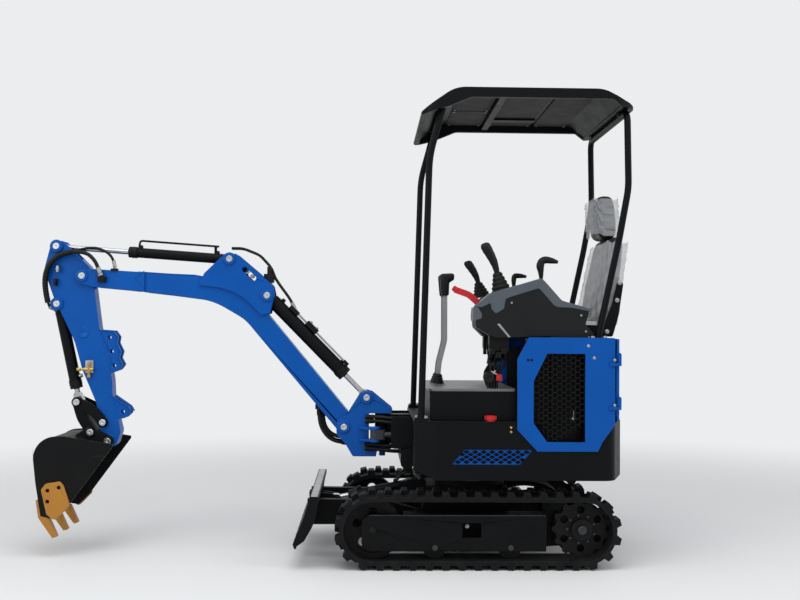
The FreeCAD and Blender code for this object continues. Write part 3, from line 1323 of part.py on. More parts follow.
def build_arm():
    """Arm: a box slotted at both cylinder pins, with bosses, pin bores and the thumb bracket."""
    body = new_body("arm")
    half, slot, eye = s.arm_half, s.arm_slot_half, s.eye_half + s.side_gap
    outline = [(s.arm_eye_x - 30, s.arm_eye_z + 26, 24), (s.arm_eye_x + 24, s.arm_eye_z + 26, 24),
               (s.arm_eye_x + 58, s.elbow_z + 29, 60), (s.tip_base_x + 20, s.tip_base_z + 38, 100),
               (s.tip_base_x - 84, s.tip_base_z - 176, 300), (s.knee_x - 21, s.knee_z + 152, 200),
               (s.rocker_x + 36, s.knee_z - 2, 120), (s.rocker_x + 19, s.rocker_z - 7, 24),
               (s.bucket_x + 30, s.bucket_z - 20, 28), (s.bucket_x, s.bucket_z - 36, 20),
               (s.bucket_x - 38, s.bucket_z - 16, 30), (s.bucket_x - 57, s.bucket_z + 48, 40),
               (s.rocker_x - 42, s.rocker_z + 113, 200), (s.rocker_x - 37, s.rocker_z + 209, 200),
               (s.elbow_x - 81, s.elbow_z - 248, 200), (s.elbow_x - 55, s.elbow_z - 61, 60),
               (s.elbow_x - 30, s.elbow_z + 44, 40)]
    slab(body, "side", [outline], -half, half)
    x, z = s.arm_eye_x, s.arm_eye_z
    room = [(x - 200, z - 60), (x + 84, z - 60), (x + 84, z + 60), (x - 200, z + 60)]
    cut(body, "side", [room], -slot, slot)
    x, z = s.tip_base_x, s.tip_base_z
    room = [(x - 68, z - 140), (x + 80, z - 140), (x + 80, z + 34), (x - 34, z + 34)]
    cut(body, "side", [room], -slot, slot)
    for x, z in ((s.arm_eye_x, s.arm_eye_z), (s.tip_base_x, s.tip_base_z)):
        pair(body, "side", [(x, z, 25)], eye, s.boss_half)
        pair(body, "side", [(x, z, s.head_radius)], s.boss_half, s.boss_half + s.head_depth)
    for x, z, radius in ((s.elbow_x, s.elbow_z, s.elbow_boss), (s.bucket_x, s.bucket_z, 30),
                         (s.rocker_x, s.rocker_z, 24)):
        slab(body, "side", [(x, z, radius)], -s.boss_half, s.boss_half)
        cut(body, "side", [(x, z, s.pin_radius + s.running_gap)], -s.boss_half, s.boss_half)
    hole = s.thumb_hole
    upper = [(1780, 1044), (1701, 1039, 20), (1680, 1011, 14), (1685, 983, 12), (1665, 942, 14),
             (1674, 911, 12), (1655, 878, 14), (1674, 854, 14), (1724, 836)]
    lower = [(1713, 737), (1626, 679, 14), (1612, 655, 20), (1642, 627, 20), (1690, 617)]
    inner = s.thumb_inner
    pair(body, "side", [upper], inner, half - 4)
    pair(body, "side", [lower], inner, half - 4)
    drill = [(1723, 1009, hole), (1712, 942, hole), (1699, 875, hole), (1655, 655, hole)]
    pair(body, "side", drill, inner, half - 4, cut)
    return body


# Hoses and pipes that stay on one part. Columns: node, radius, distance between two hoses side by
# side along Y, points (x, y, z, bend) of the first, then its clamp's limits along X, Y and Z.
HOSES = [
    ("arm_pipe", 5, 0, [(1594, 0, 1442.4), (1589, 0, 1474, 12), (1212, 0, 1449)],
     ((1222, 1234), (-7, 7), (1416.4, 1452))),
    ("boom_hoses", 6.5, -24, [(1150, 12, 1441), (1095, 12, 1441, 120), (1015, 12, 1409, 90),
                              (962, 12, 1352, 110), (941, 12, 1300)],
     ((958, 976), (-46, 46), (1262, 1352))),
    ("arm_hoses", 6.5, -15, [(1892, 76, 1414), (1944, 76, 1405, 100), (1995, 75, 1366, 90),
                             (2021, 68, 1310, 110), (2024, 58, 1236, 150), (2011, 52, 1172)],
     ((1984, 2004), (40, 78), (1334, 1366))),
]


def build_hoses(label, radius, beside, points, clamp):
    """Hoses or a pipe along straight runs and arcs, with the clamp that holds them."""
    shapes = []
    for shift in {0, beside}:
        line = [(x, y + shift, z, *bend) for x, y, z, *bend in points]
        shapes.append(tube(line, radius))
    (x0, x1), (y0, y1), (z0, z1) = clamp
    block = Part.makeBox(x1 - x0, y1 - y0, z1 - z0, Vector(x0, y0, z0))
    return computed(label, block.fuse(shapes))


# Bucket and its linkage

def build_bucket():
    """Bucket: two side walls, a curved sheet, and two ears with the pins of the arm and the link."""
    body = new_body("bucket")
    half, wall = s.bucket_width / 2, s.bucket_wall
    side = [(1663, 508), (1864, 232), (1915, 182), (1986, 190), (2012, 340, 400), (2036, 548, 100),
            (1890, 556, 60), (1663, 520)]
    sheet_line = [(1762, 488), (1830, 530, 60), (1890, 550, 60), (2036, 548, 100), (2012, 340, 400),
                  (1986, 190), (1978, 190), (2004, 341, 392), (2028, 540, 92), (1892, 542, 68),
                  (1834, 523, 52), (1767, 481)]
    pair(body, "side", [side], half - wall, half)
    slab(body, "side", [sheet_line], wall - half, half - wall)
    inner = s.boss_half + s.side_gap
    outer = inner + s.fork_plate
    x, z = s.bucket_x, s.bucket_z
    ends = bar((x, z), (s.link_x, s.link_z), 29, 21.5)
    ear = [ends[0], (1775, 486, 30), (1856, 536), (1872, 546), ends[2], ends[3]]
    pair(body, "side", [ear], inner, outer)
    pin(body, x, z, inner, outer)
    pin(body, s.link_x, s.link_z, inner, outer)
    return body


def build_cutters():
    """Two side cutters and the teeth of the bucket."""
    half, plate = s.bucket_width / 2, s.cutter_plate
    outline = [(1983, 313, 14), (1961, 340, 14), (1897, 350, 14), (1881, 331, 10), (1850, 240, 20),
               (1918, 170, 20), (1956, 200)]
    holes = [(1902, 322, s.cutter_hole), (1953, 308, s.cutter_hole), (1953, 258, s.cutter_hole)]
    members = []
    for side in (1, -1):
        cutter = new_body(f"cutter_{side}")
        heights = (half, half + plate) if side > 0 else (-half - plate, -half)
        slab(cutter, "side", [outline] + holes, *heights)
        members.append(cutter)
    count = int(float(s.tooth_count))
    reach = half - s.tooth_width / 2
    profile = [(2009, 262), (1997, 182), (1931, 90), (1911, 96), (1950, 180), (1986.3, 189.7), (1999, 262)]
    for number in range(count):
        tooth = new_body(f"tooth_{number}")
        middle = reach * (2 * number / (count - 1) - 1)
        slab(tooth, "side", [profile], middle - s.tooth_width / 2, middle + s.tooth_width / 2)
        members.append(tooth)
    return compound("cutters_and_teeth", members)


def build_rocker():
    """Two curved rocker plates on their common pin through the arm."""
    body = new_body("rocker")
    inner = s.boss_half + s.side_gap
    outer = inner + s.rocker_plate
    plate = bow_bar((s.rocker_x, s.rocker_z), (s.knee_x, s.knee_z), s.link_boss, 18, 150)
    pair(body, "side", [plate], inner, outer)
    pin(body, s.rocker_x, s.rocker_z, inner, outer)
    pair(body, "side", [(s.knee_x, s.knee_z, s.head_radius)], outer, outer + s.head_depth)
    return body


def build_link():
    """Link between the knee and the bucket: forked at the knee, one boss at the bucket."""
    body = new_body("bucket_link")
    gap = s.eye_half + 2
    outline = bow_bar((s.link_x, s.link_z), (s.knee_x, s.knee_z), s.link_boss, -12, 150)
    slab(body, "side", [outline], -s.boss_half + 1, s.boss_half - 1)
    cut(body, "side", [(s.knee_x, s.knee_z, 60)], -gap, gap)
    slab(body, "side", [(s.link_x, s.link_z, s.link_boss)], -s.boss_half, s.boss_half)
    cut(body, "side", [(s.link_x, s.link_z, s.pin_radius + s.running_gap)], -s.boss_half, s.boss_half)
    return body


for builder in (build_swing_post, build_boom, build_boom_bracket, build_arm, build_bucket, build_cutters,
                build_rocker, build_link):
    keep(builder())
for row in HOSES:
    keep(build_hoses(*row))


doc.recompute()
for item in doc.Objects:
    if "Invalid" in item.State or "Error" in item.State:
        raise RuntimeError(f"{item.Name} ({item.Label}) could not be worked out")
for item in doc.Objects:
    if item.TypeId == "PartDesign::Pocket":
        before = item.BaseFeature.Shape.Volume
        if before - item.Shape.Volume < 1:
            raise RuntimeError(f"{item.Name} in {item.getParent().Label} cuts nothing")

os.makedirs("parts", exist_ok=True)
for piece in pieces:
    if piece.Shape.isNull() or not piece.Shape.isValid():
        raise RuntimeError(f"{piece.Label} is not a sound solid")
    piece.Shape.exportStep(f"parts/{piece.Label}.step")
    print(f"{piece.Label}: {len(piece.Shape.Solids)} solids, {piece.Shape.Volume / 1e6:.3f} litres")
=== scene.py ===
"""Looks of a small tracked excavator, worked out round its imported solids.

Axes: X forward from the slew axis, Y to the operator's left, Z up from the ground. The sizes of
the machine's pieces are in millimetres, and those of the studio in metres.
"""

from __future__ import annotations

import json
import logging
import math
from collections.abc import Sequence
from dataclasses import dataclass, field
from enum import Enum

import bmesh
import bpy
import numpy as np
from mathutils import Matrix, Vector

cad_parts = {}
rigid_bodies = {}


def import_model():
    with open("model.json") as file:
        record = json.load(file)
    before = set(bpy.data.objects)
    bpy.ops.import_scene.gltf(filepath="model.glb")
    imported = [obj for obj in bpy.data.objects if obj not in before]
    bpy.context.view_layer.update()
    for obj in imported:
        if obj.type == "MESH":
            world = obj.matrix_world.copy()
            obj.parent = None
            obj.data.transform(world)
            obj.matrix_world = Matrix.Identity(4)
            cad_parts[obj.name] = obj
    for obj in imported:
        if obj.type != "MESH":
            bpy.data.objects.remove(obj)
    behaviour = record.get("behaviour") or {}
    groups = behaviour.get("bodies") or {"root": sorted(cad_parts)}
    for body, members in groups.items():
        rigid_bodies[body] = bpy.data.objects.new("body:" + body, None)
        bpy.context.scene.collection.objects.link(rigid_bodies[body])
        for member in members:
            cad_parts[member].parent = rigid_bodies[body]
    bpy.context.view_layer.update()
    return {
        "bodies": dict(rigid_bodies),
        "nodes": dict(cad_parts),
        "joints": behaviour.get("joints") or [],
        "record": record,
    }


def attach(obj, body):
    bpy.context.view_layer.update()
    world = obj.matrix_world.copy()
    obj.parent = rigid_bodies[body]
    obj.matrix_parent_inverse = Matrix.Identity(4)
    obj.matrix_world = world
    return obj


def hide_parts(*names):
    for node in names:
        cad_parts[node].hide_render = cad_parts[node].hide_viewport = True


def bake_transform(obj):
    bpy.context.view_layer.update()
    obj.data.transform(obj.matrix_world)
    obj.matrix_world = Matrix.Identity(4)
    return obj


LOG = logging.getLogger("excavator")
MM = 0.001

Point = tuple[float, float, float]
Pair = tuple[float, float]
Colour = tuple[float, float, float]
Surface = tuple[np.ndarray, list[tuple[int, ...]]]


class Plane(Enum):
    """Plane of an outline: the rows of its two directions and of its depth."""

    SIDE = (0, 2, 1)
    PLAN = (0, 1, 2)
    FRONT = (1, 2, 0)


BOTH_SIDES = (1, -1)


# Surfaces, as numpy arrays in millimetres


def outward(points: np.ndarray, faces: list[tuple[int, ...]]) -> Surface:
    """Turns the faces of a closed surface outwards.

    Each face is cut into a fan of triangles. The volume is the sum of a . (b x c) / 6, and where it is
    below zero every face is turned round.

    Args:
        points: Rows of X, Y and Z.
        faces: Corners of each face.

    Returns:
        The surface.
    """
    fans = np.array([(face[0], face[k], face[k + 1]) for face in faces for k in range(1, len(face) - 1)])
    a, b, c = points[fans[:, 0]], points[fans[:, 1]], points[fans[:, 2]]
    if np.einsum("ij,ij->i", a, np.cross(b, c)).sum() < 0:
        faces = [face[::-1] for face in faces]
    return points, faces


def loft(rings: np.ndarray, closed: bool = False) -> Surface:
    """Joins rings of the same count by four-sided faces.

    Point j of ring i meets point j + 1 of that ring and both of ring i + 1. A line of rings is closed
    by a flat face at each end, and a closed line joins its last ring to its first.

    Args:
        rings: Array of rings, points and X, Y, Z.
        closed: Whether the rings run in a loop.

    Returns:
        The surface.
    """
    count, sides, _ = rings.shape
    row, column = np.meshgrid(np.arange(count if closed else count - 1), np.arange(sides), indexing="ij")
    after, beside = (row + 1) % count, (column + 1) % sides
    quads = np.stack((row * sides + column, row * sides + beside, after * sides + beside,
                      after * sides + column), axis=-1).reshape(-1, 4)
    faces = [tuple(quad) for quad in quads.tolist()]
    if not closed:
        faces.append(tuple(range(sides - 1, -1, -1)))
        faces.append(tuple(range((count - 1) * sides, count * sides)))
    return outward(rings.reshape(-1, 3).astype(float), faces)


def join(*surfaces: Surface) -> Surface:
    """Puts surfaces into one, each shell as it is.

    Args:
        surfaces: The surfaces.

    Returns:
        One surface.
    """
    points, faces, start = [], [], 0
    for rows, corners in surfaces:
        points.append(rows)
        faces.extend(tuple(index + start for index in face) for face in corners)
        start += len(rows)
    return np.concatenate(points), faces


def mirrored(surface: Surface) -> Surface:
    """The same surface on the other side: Y changes its sign and each face turns round."""
    points, faces = surface
    return points * (1, -1, 1), [face[::-1] for face in faces]


def both(surface: Surface) -> Surface:
    """A surface on the left side together with its mirror image."""
    return join(surface, mirrored(surface))


def repeated(surface: Surface, shifts: np.ndarray) -> Surface:
    """Copies a surface to several places.

    Args:
        surface: The surface at its first place.
        shifts: Rows of X, Y and Z, one for each copy.

    Returns:
        All copies as one surface.
    """
    points, faces = surface
    rows = (points[None] + np.asarray(shifts, float)[:, None]).reshape(-1, 3)
    starts = range(0, len(rows), len(points))
    return rows, [tuple(index + start for index in face) for start in starts for face in faces]


def circle(radius: float, sides: int = 20) -> np.ndarray:
    """Points of a circle: radius times cosine and sine of equal steps."""
    turn = np.arange(sides) * (2 * math.pi / sides)
    return np.column_stack((np.cos(turn), np.sin(turn))) * radius


def carried(path: np.ndarray, section: np.ndarray, scale: np.ndarray | float = 1.0,
            level: Point = (0, 1, 0), closed: bool = False) -> Surface:
    """Carries a section along a path.

    The tangent t is the difference of neighbouring points. The section's first direction is the part of
    level that stands square to t, and its second is t x first, so it never twists.

    Args:
        path: Rows of X, Y and Z along the path.
        section: Rows of the two offsets of the section.
        scale: Size of the section at each point.
        level: Direction that the section's first offset keeps to.
        closed: Whether the path is a loop.

    Returns:
        The surface.
    """
    path = np.asarray(path, float)
    if closed:
        tangent = np.roll(path, -1, axis=0) - np.roll(path, 1, axis=0)
    else:
        tangent = np.gradient(path, axis=0)
    tangent /= np.linalg.norm(tangent, axis=1, keepdims=True)
    first = np.asarray(level, float) - tangent * (tangent @ np.asarray(level, float))[:, None]
    first /= np.linalg.norm(first, axis=1, keepdims=True)
    second = np.cross(tangent, first)
    size = np.broadcast_to(np.asarray(scale, float), (len(path),))[:, None, None]
    offsets = first[:, None] * section[None, :, :1] + second[:, None] * section[None, :, 1:]
    return loft(path[:, None] + offsets * size, closed)


def turned(steps: Sequence[Pair], place: Point, along: Point, sides: int = 24) -> Surface:
    """Turns a profile round a line.

    Ring i is a circle of the step's radius, at the step's distance from place along the line.

    Args:
        steps: Distance along the line and radius, from one end to the other.
        place: Start of the line.
        along: Direction of the line.
        sides: Points of each ring.

    Returns:
        The surface.
    """
    line = np.asarray(along, float)
    line /= np.linalg.norm(line)
    level = np.array((0.0, 1.0, 0.0)) if abs(line[1]) < 0.9 else np.array((0.0, 0.0, 1.0))
    first = level - line * (level @ line)
    first /= np.linalg.norm(first)
    second = np.cross(line, first)
    spread = circle(1.0, sides)
    ring = spread[:, :1] * first + spread[:, 1:] * second
    steps = np.asarray(steps, float)
    rings = np.asarray(place, float) + steps[:, None, :1] * line + steps[:, None, 1:] * ring[None]
    return loft(rings)


def outline(corners: Sequence[tuple[float, ...]], steps: int = 4) -> np.ndarray:
    """Points of a closed outline whose corners are rounded.

    An arc touches both sides at radius / tan(half the corner's angle) from the corner, and its points
    are equal steps of the angle round its middle.

    Args:
        corners: Across, up and, where it is round, the radius of each corner.
        steps: Pieces of each arc.

    Returns:
        Rows of across and up.
    """
    rows = []
    for index, corner in enumerate(corners):
        here = np.array(corner[:2], float)
        if len(corner) < 3:
            rows.append(here[None])
            continue
        before = np.array(corners[index - 1][:2], float) - here
        after = np.array(corners[(index + 1) % len(corners)][:2], float) - here
        before /= np.linalg.norm(before)
        after /= np.linalg.norm(after)
        half = math.acos(float(np.clip(before @ after, -1, 1))) / 2
        middle = here + (before + after) / np.linalg.norm(before + after) * corner[2] / math.sin(half)
        start = here + before * corner[2] / math.tan(half) - middle
        end = here + after * corner[2] / math.tan(half) - middle
        sweep = math.pi - 2 * half
        share = np.linspace(0, 1, steps + 1)[:, None]
        rows.append(middle + (np.sin((1 - share) * sweep) * start
                              + np.sin(share * sweep) * end) / math.sin(sweep))
    return np.concatenate(rows)


def inset(points: np.ndarray, depth: float) -> np.ndarray:
    """Moves each point of an outline inwards along the sum of its two sides' normals."""
    side = np.roll(points, -1, axis=0) - points
    side /= np.linalg.norm(side, axis=1, keepdims=True)
    normal = np.column_stack((-side[:, 1], side[:, 0]))
    area = np.sum(points[:, 0] * np.roll(points[:, 1], -1) - points[:, 1] * np.roll(points[:, 0], -1))
    normal = normal if area > 0 else -normal
    earlier = np.roll(normal, 1, axis=0)
    share = 1 + np.einsum("ij,ij->i", normal, earlier)
    return points + (normal + earlier) * (depth / np.maximum(share, 0.4))[:, None]


def plate(points: np.ndarray, low: float, high: float, plane: Plane = Plane.SIDE,
          edge: float = 1.0) -> Surface:
    """Pushes an outline out to a plate with broken edges.

    Four rings: the outline inset by the edge at both faces, and full an edge further in.

    Args:
        points: Rows of across and up.
        low: Lower face along the plane's depth.
        high: Upper face along the plane's depth.
        plane: Plane of the outline.
        edge: Width of the broken edge.

    Returns:
        The surface.
    """
    narrow = inset(points, edge)
    across, up, depth = plane.value
    rings = np.zeros((4, len(points), 3))
    for ring, flat, level in ((0, narrow, low), (1, points, low + edge), (2, points, high - edge),
                              (3, narrow, high)):
        rings[ring][:, (across, up)] = flat
        rings[ring][:, depth] = level
    return loft(rings)


def box(x: Pair, y: Pair, z: Pair, edge: float = 1.5) -> Surface:
    """A block with rounded upright corners and broken edges between these limits."""
    corners = [(x[0], y[0], edge), (x[1], y[0], edge), (x[1], y[1], edge), (x[0], y[1], edge)]
    return plate(outline(corners, 2), z[0], z[1], Plane.PLAN, min(edge, 1.2))


def bolt(place: Point, along: Point, across: float = 8.0,
         height: float = 6.0, washer: bool = True) -> Surface:
    """Six-sided bolt head, its top chamfered, on a washer.

    Args:
        place: Middle of the face that it sits on.
        along: Direction that the head points in.
        across: Radius to the head's corners.
        height: Height of the head.
        washer: Whether a washer lies under it.

    Returns:
        The surface.
    """
    start = across * 0.2 if washer else 0.0
    steps = [(-0.6, across), (start + height * 0.82, across), (start + height, across * 0.8)]
    head = turned(steps, place, along, 6)
    if not washer:
        return head
    ring = turned([(-0.6, across * 1.32), (start * 0.7, across * 1.32), (start, across * 1.24)],
                  place, along, 20)
    return join(ring, head)


def bead(path: Sequence[Point], radius: float = 2.6) -> Surface:
    """Weld seam: a half-sunk rod whose radius ripples with the sine of its length."""
    corners = np.asarray(path, float)
    lengths = np.concatenate(((0.0,), np.cumsum(np.linalg.norm(np.diff(corners, axis=0), axis=1))))
    spots = np.linspace(0, lengths[-1], max(int(lengths[-1] / 2.2), 6))
    line = np.column_stack([np.interp(spots, lengths, corners[:, row]) for row in range(3)])
    ripple = 1 + 0.14 * np.sin(spots * 2.1)
    ripple[[0, -1]] = 0.35
    return carried(line, circle(radius, 8), ripple)


def smooth_line(route: Sequence[Point], spacing: float = 9.0) -> np.ndarray:
    """Points of the smooth line of order 3 that a route's points control.

    Args:
        route: Control points, from one end to the other.
        spacing: About how far apart the line's points lie.

    Returns:
        Rows of X, Y and Z.
    """
    curve = bpy.data.curves.new("route", "CURVE")
    curve.dimensions = "3D"
    spline = curve.splines.new("NURBS")
    spline.points.add(len(route) - 1)
    spline.points.foreach_set("co", np.column_stack((route, np.ones(len(route)))).ravel())
    spline.order_u = 3
    spline.use_endpoint_u = True
    spline.resolution_u = 12
    holder = bpy.data.objects.new("route", curve)
    mesh = bpy.data.meshes.new_from_object(holder)
    line = np.empty(len(mesh.vertices) * 3)
    mesh.vertices.foreach_get("co", line)
    bpy.data.objects.remove(holder)
    bpy.data.meshes.remove(mesh)
    bpy.data.curves.remove(curve)
    line = line.reshape(-1, 3)
    keep = np.concatenate(((True,), np.linalg.norm(np.diff(line, axis=0), axis=1) > 0.01))
    line = line[keep]
    lengths = np.concatenate(((0.0,), np.cumsum(np.linalg.norm(np.diff(line, axis=0), axis=1))))
    spots = np.linspace(0, lengths[-1], max(int(lengths[-1] / spacing), 4))
    return np.column_stack([np.interp(spots, lengths, line[:, row]) for row in range(3)])


def swept(route: Sequence[Point], radii: Sequence[float], sides: int = 18, spacing: float = 5.0) -> Surface:
    """Round bar along a smooth line, its radius read between the given ones at even steps."""
    line = smooth_line(route, spacing)
    size = np.interp(np.linspace(0, 1, len(line)), np.linspace(0, 1, len(radii)), radii)
    return carried(line, circle(1.0, sides), size)


# Node trees


class Tree:
    """A node tree with short calls for nodes and links."""

    def __init__(self, tree: bpy.types.NodeTree) -> None:
        """Wraps a tree and empties it.

        Args:
            tree: The node tree to fill.
        """
        self.tree = tree
        tree.nodes.clear()

    def add(self, kind: str, inputs: dict | None = None, **settings: object) -> bpy.types.Node:
        """Adds a node.

        Args:
            kind: Type of the node.
            inputs: Values or output sockets for its inputs, by name or number.
            settings: Properties of the node.

        Returns:
            The new node.
        """
        node = self.tree.nodes.new(kind)
        for name, value in settings.items():
            setattr(node, name, value)
        for key, value in (inputs or {}).items():
            if isinstance(value, bpy.types.NodeSocket):
                self.tree.links.new(value, node.inputs[key])
            else:
                node.inputs[key].default_value = value
        return node

    def math(self, operation: str, *values: object, clamp: bool = False) -> bpy.types.NodeSocket:
        """Adds a Math node and returns its output.

        Args:
            operation: Name of the operation.
            values: Numbers or sockets, in order.
            clamp: Whether the result stays from 0 to 1.

        Returns:
            The output socket.
        """
        node = self.add("ShaderNodeMath", dict(enumerate(values)), operation=operation, use_clamp=clamp)
        return node.outputs[0]

    def mix(self, factor: object, first: object, second: object) -> bpy.types.NodeSocket:
        """Mixes two colours.

        Args:
            factor: Share of the second colour, a number or socket.
            first: Colour or socket at factor 0.
            second: Colour or socket at factor 1.

        Returns:
            The mixed colour's socket.
        """
        node = self.add("ShaderNodeMix", data_type="RGBA")
        for key, value in ((0, factor), (6, first), (7, second)):
            if isinstance(value, bpy.types.NodeSocket):
                self.tree.links.new(value, node.inputs[key])
            elif key:
                node.inputs[key].default_value = (*value, 1.0)
            else:
                node.inputs[key].default_value = value
        return node.outputs[2]


def new_group(name: str, inputs: Sequence[tuple[str, float]], outputs: Sequence[str]) -> tuple:
    """Starts a shader node group of numbers.

    Args:
        name: Name of the group.
        inputs: Name and usual value of each input.
        outputs: Name of each output.

    Returns:
        The group, its Tree, and its input and output nodes.
    """
    group = bpy.data.node_groups.new(name, "ShaderNodeTree")
    for label, value in inputs:
        socket = group.interface.new_socket(name=label, in_out="INPUT", socket_type="NodeSocketFloat")
        socket.default_value = value
    for label in outputs:
        group.interface.new_socket(name=label, in_out="OUTPUT", socket_type="NodeSocketFloat")
    tree = Tree(group)
    return group, tree, tree.add("NodeGroupInput"), tree.add("NodeGroupOutput")


def mottle_group() -> bpy.types.NodeTree:
    """Soft patches: noise on Object coordinates, mapped from Low to High."""
    group, tree, given, result = new_group("mottle", [("Scale", 8), ("Low", 0), ("High", 1)], ["Value"])
    place = tree.add("ShaderNodeTexCoord")
    noise = tree.add("ShaderNodeTexNoise", {"Vector": place.outputs["Object"],
                                            "Scale": given.outputs["Scale"],
                                            "Detail": 5.0, "Roughness": 0.6})
    spread = tree.add("ShaderNodeMapRange", {"Value": noise.outputs["Fac"], "From Min": 0.3, "From Max": 0.7,
                                             "To Min": given.outputs["Low"], "To Max": given.outputs["High"]})
    tree.tree.links.new(spread.outputs["Result"], result.inputs["Value"])
    return group


def grain_group() -> bpy.types.NodeTree:
    """Fine skin of a coat or moulding: noise as a height from 0 to Depth, in metres."""
    group, tree, given, result = new_group("grain", [("Scale", 400), ("Depth", 0.0001)], ["Height"])
    place = tree.add("ShaderNodeTexCoord")
    noise = tree.add("ShaderNodeTexNoise", {"Vector": place.outputs["Object"],
                                            "Scale": given.outputs["Scale"],
                                            "Detail": 2.0})
    height = tree.math("MULTIPLY", noise.outputs["Fac"], given.outputs["Depth"])
    tree.tree.links.new(height, result.inputs["Height"])
    return group


def dust_group() -> bpy.types.NodeTree:
    """Dust: more on faces that look up and near the ground, in patches of noise."""
    names = [("Amount", 0.2), ("Scale", 6), ("Ground", 0.3)]
    group, tree, given, result = new_group("dust", names, ["Mask"])
    place = tree.add("ShaderNodeTexCoord")
    facing = tree.add("ShaderNodeSeparateXYZ", {0: tree.add("ShaderNodeNewGeometry").outputs["Normal"]})
    height = tree.add("ShaderNodeSeparateXYZ", {0: place.outputs["Object"]})
    upward = tree.math("MULTIPLY_ADD", facing.outputs["Z"], 0.5, 0.25, clamp=True)
    low = tree.add("ShaderNodeMapRange", {"Value": height.outputs["Z"], "From Min": 0.0, "From Max": 0.45,
                                          "To Min": given.outputs["Ground"], "To Max": 0.0})
    noise = tree.add("ShaderNodeTexNoise", {"Vector": place.outputs["Object"],
                                            "Scale": given.outputs["Scale"],
                                            "Detail": 8.0, "Roughness": 0.7})
    patches = tree.add("ShaderNodeMapRange", {"Value": noise.outputs["Fac"],
                                              "From Min": 0.35, "From Max": 0.75})
    amount = tree.math("MULTIPLY_ADD", upward, given.outputs["Amount"], low.outputs["Result"])
    mask = tree.math("MULTIPLY", amount, patches.outputs["Result"], clamp=True)
    tree.tree.links.new(mask, result.inputs["Mask"])
    return group


def scratch_group() -> bpy.types.NodeTree:
    """Thin scratches: noise stretched along a slanted line, kept where it peaks."""
    names = [("Scale", 60), ("Amount", 0.5)]
    group, tree, given, result = new_group("scratches", names, ["Mask"])
    place = tree.add("ShaderNodeTexCoord")
    turned_about = tree.add("ShaderNodeMapping", {"Vector": place.outputs["Object"],
                                                  "Rotation": (0.4, 0.7, 0.2),
                                                  "Scale": (0.06, 1.0, 1.0)})
    noise = tree.add("ShaderNodeTexNoise", {"Vector": turned_about.outputs[0],
                                            "Scale": given.outputs["Scale"],
                                            "Detail": 3.0})
    peaks = tree.add("ShaderNodeMapRange", {"Value": noise.outputs["Fac"],
                                            "From Min": 0.66, "From Max": 0.74})
    mask = tree.math("MULTIPLY", peaks.outputs["Result"], given.outputs["Amount"], clamp=True)
    tree.tree.links.new(mask, result.inputs["Mask"])
    return group


def edge_group() -> bpy.types.NodeTree:
    """Worn edges and painted edge highlight: one less the dot of the surface's normal and one rounded over Width,
    broken by noise.
    """
    names = [("Width", 0.004), ("Amount", 0.5), ("Scale", 40)]
    group, tree, given, result = new_group("edge_wear_and_sheen", names, ["Mask"])
    place = tree.add("ShaderNodeTexCoord")
    rounded = tree.add("ShaderNodeBevel", {"Radius": given.outputs["Width"]}, samples=4)
    plain = tree.add("ShaderNodeNewGeometry")
    match = tree.add("ShaderNodeVectorMath", {0: rounded.outputs[0], 1: plain.outputs["Normal"]},
                     operation="DOT_PRODUCT")
    bend = tree.add("ShaderNodeMapRange", {"Value": match.outputs["Value"],
                                           "From Min": 0.99, "From Max": 0.90,
                                           "To Min": 0.0, "To Max": 1.0})
    noise = tree.add("ShaderNodeTexNoise", {"Vector": place.outputs["Object"],
                                            "Scale": given.outputs["Scale"],
                                            "Detail": 6.0, "Roughness": 0.7})
    broken = tree.add("ShaderNodeMapRange", {"Value": noise.outputs["Fac"],
                                             "From Min": 0.42, "From Max": 0.62})
    mask = tree.math("MULTIPLY", bend.outputs["Result"], broken.outputs["Result"])
    mask = tree.math("MULTIPLY", mask, given.outputs["Amount"], clamp=True)
    tree.tree.links.new(mask, result.inputs["Mask"])
    return group


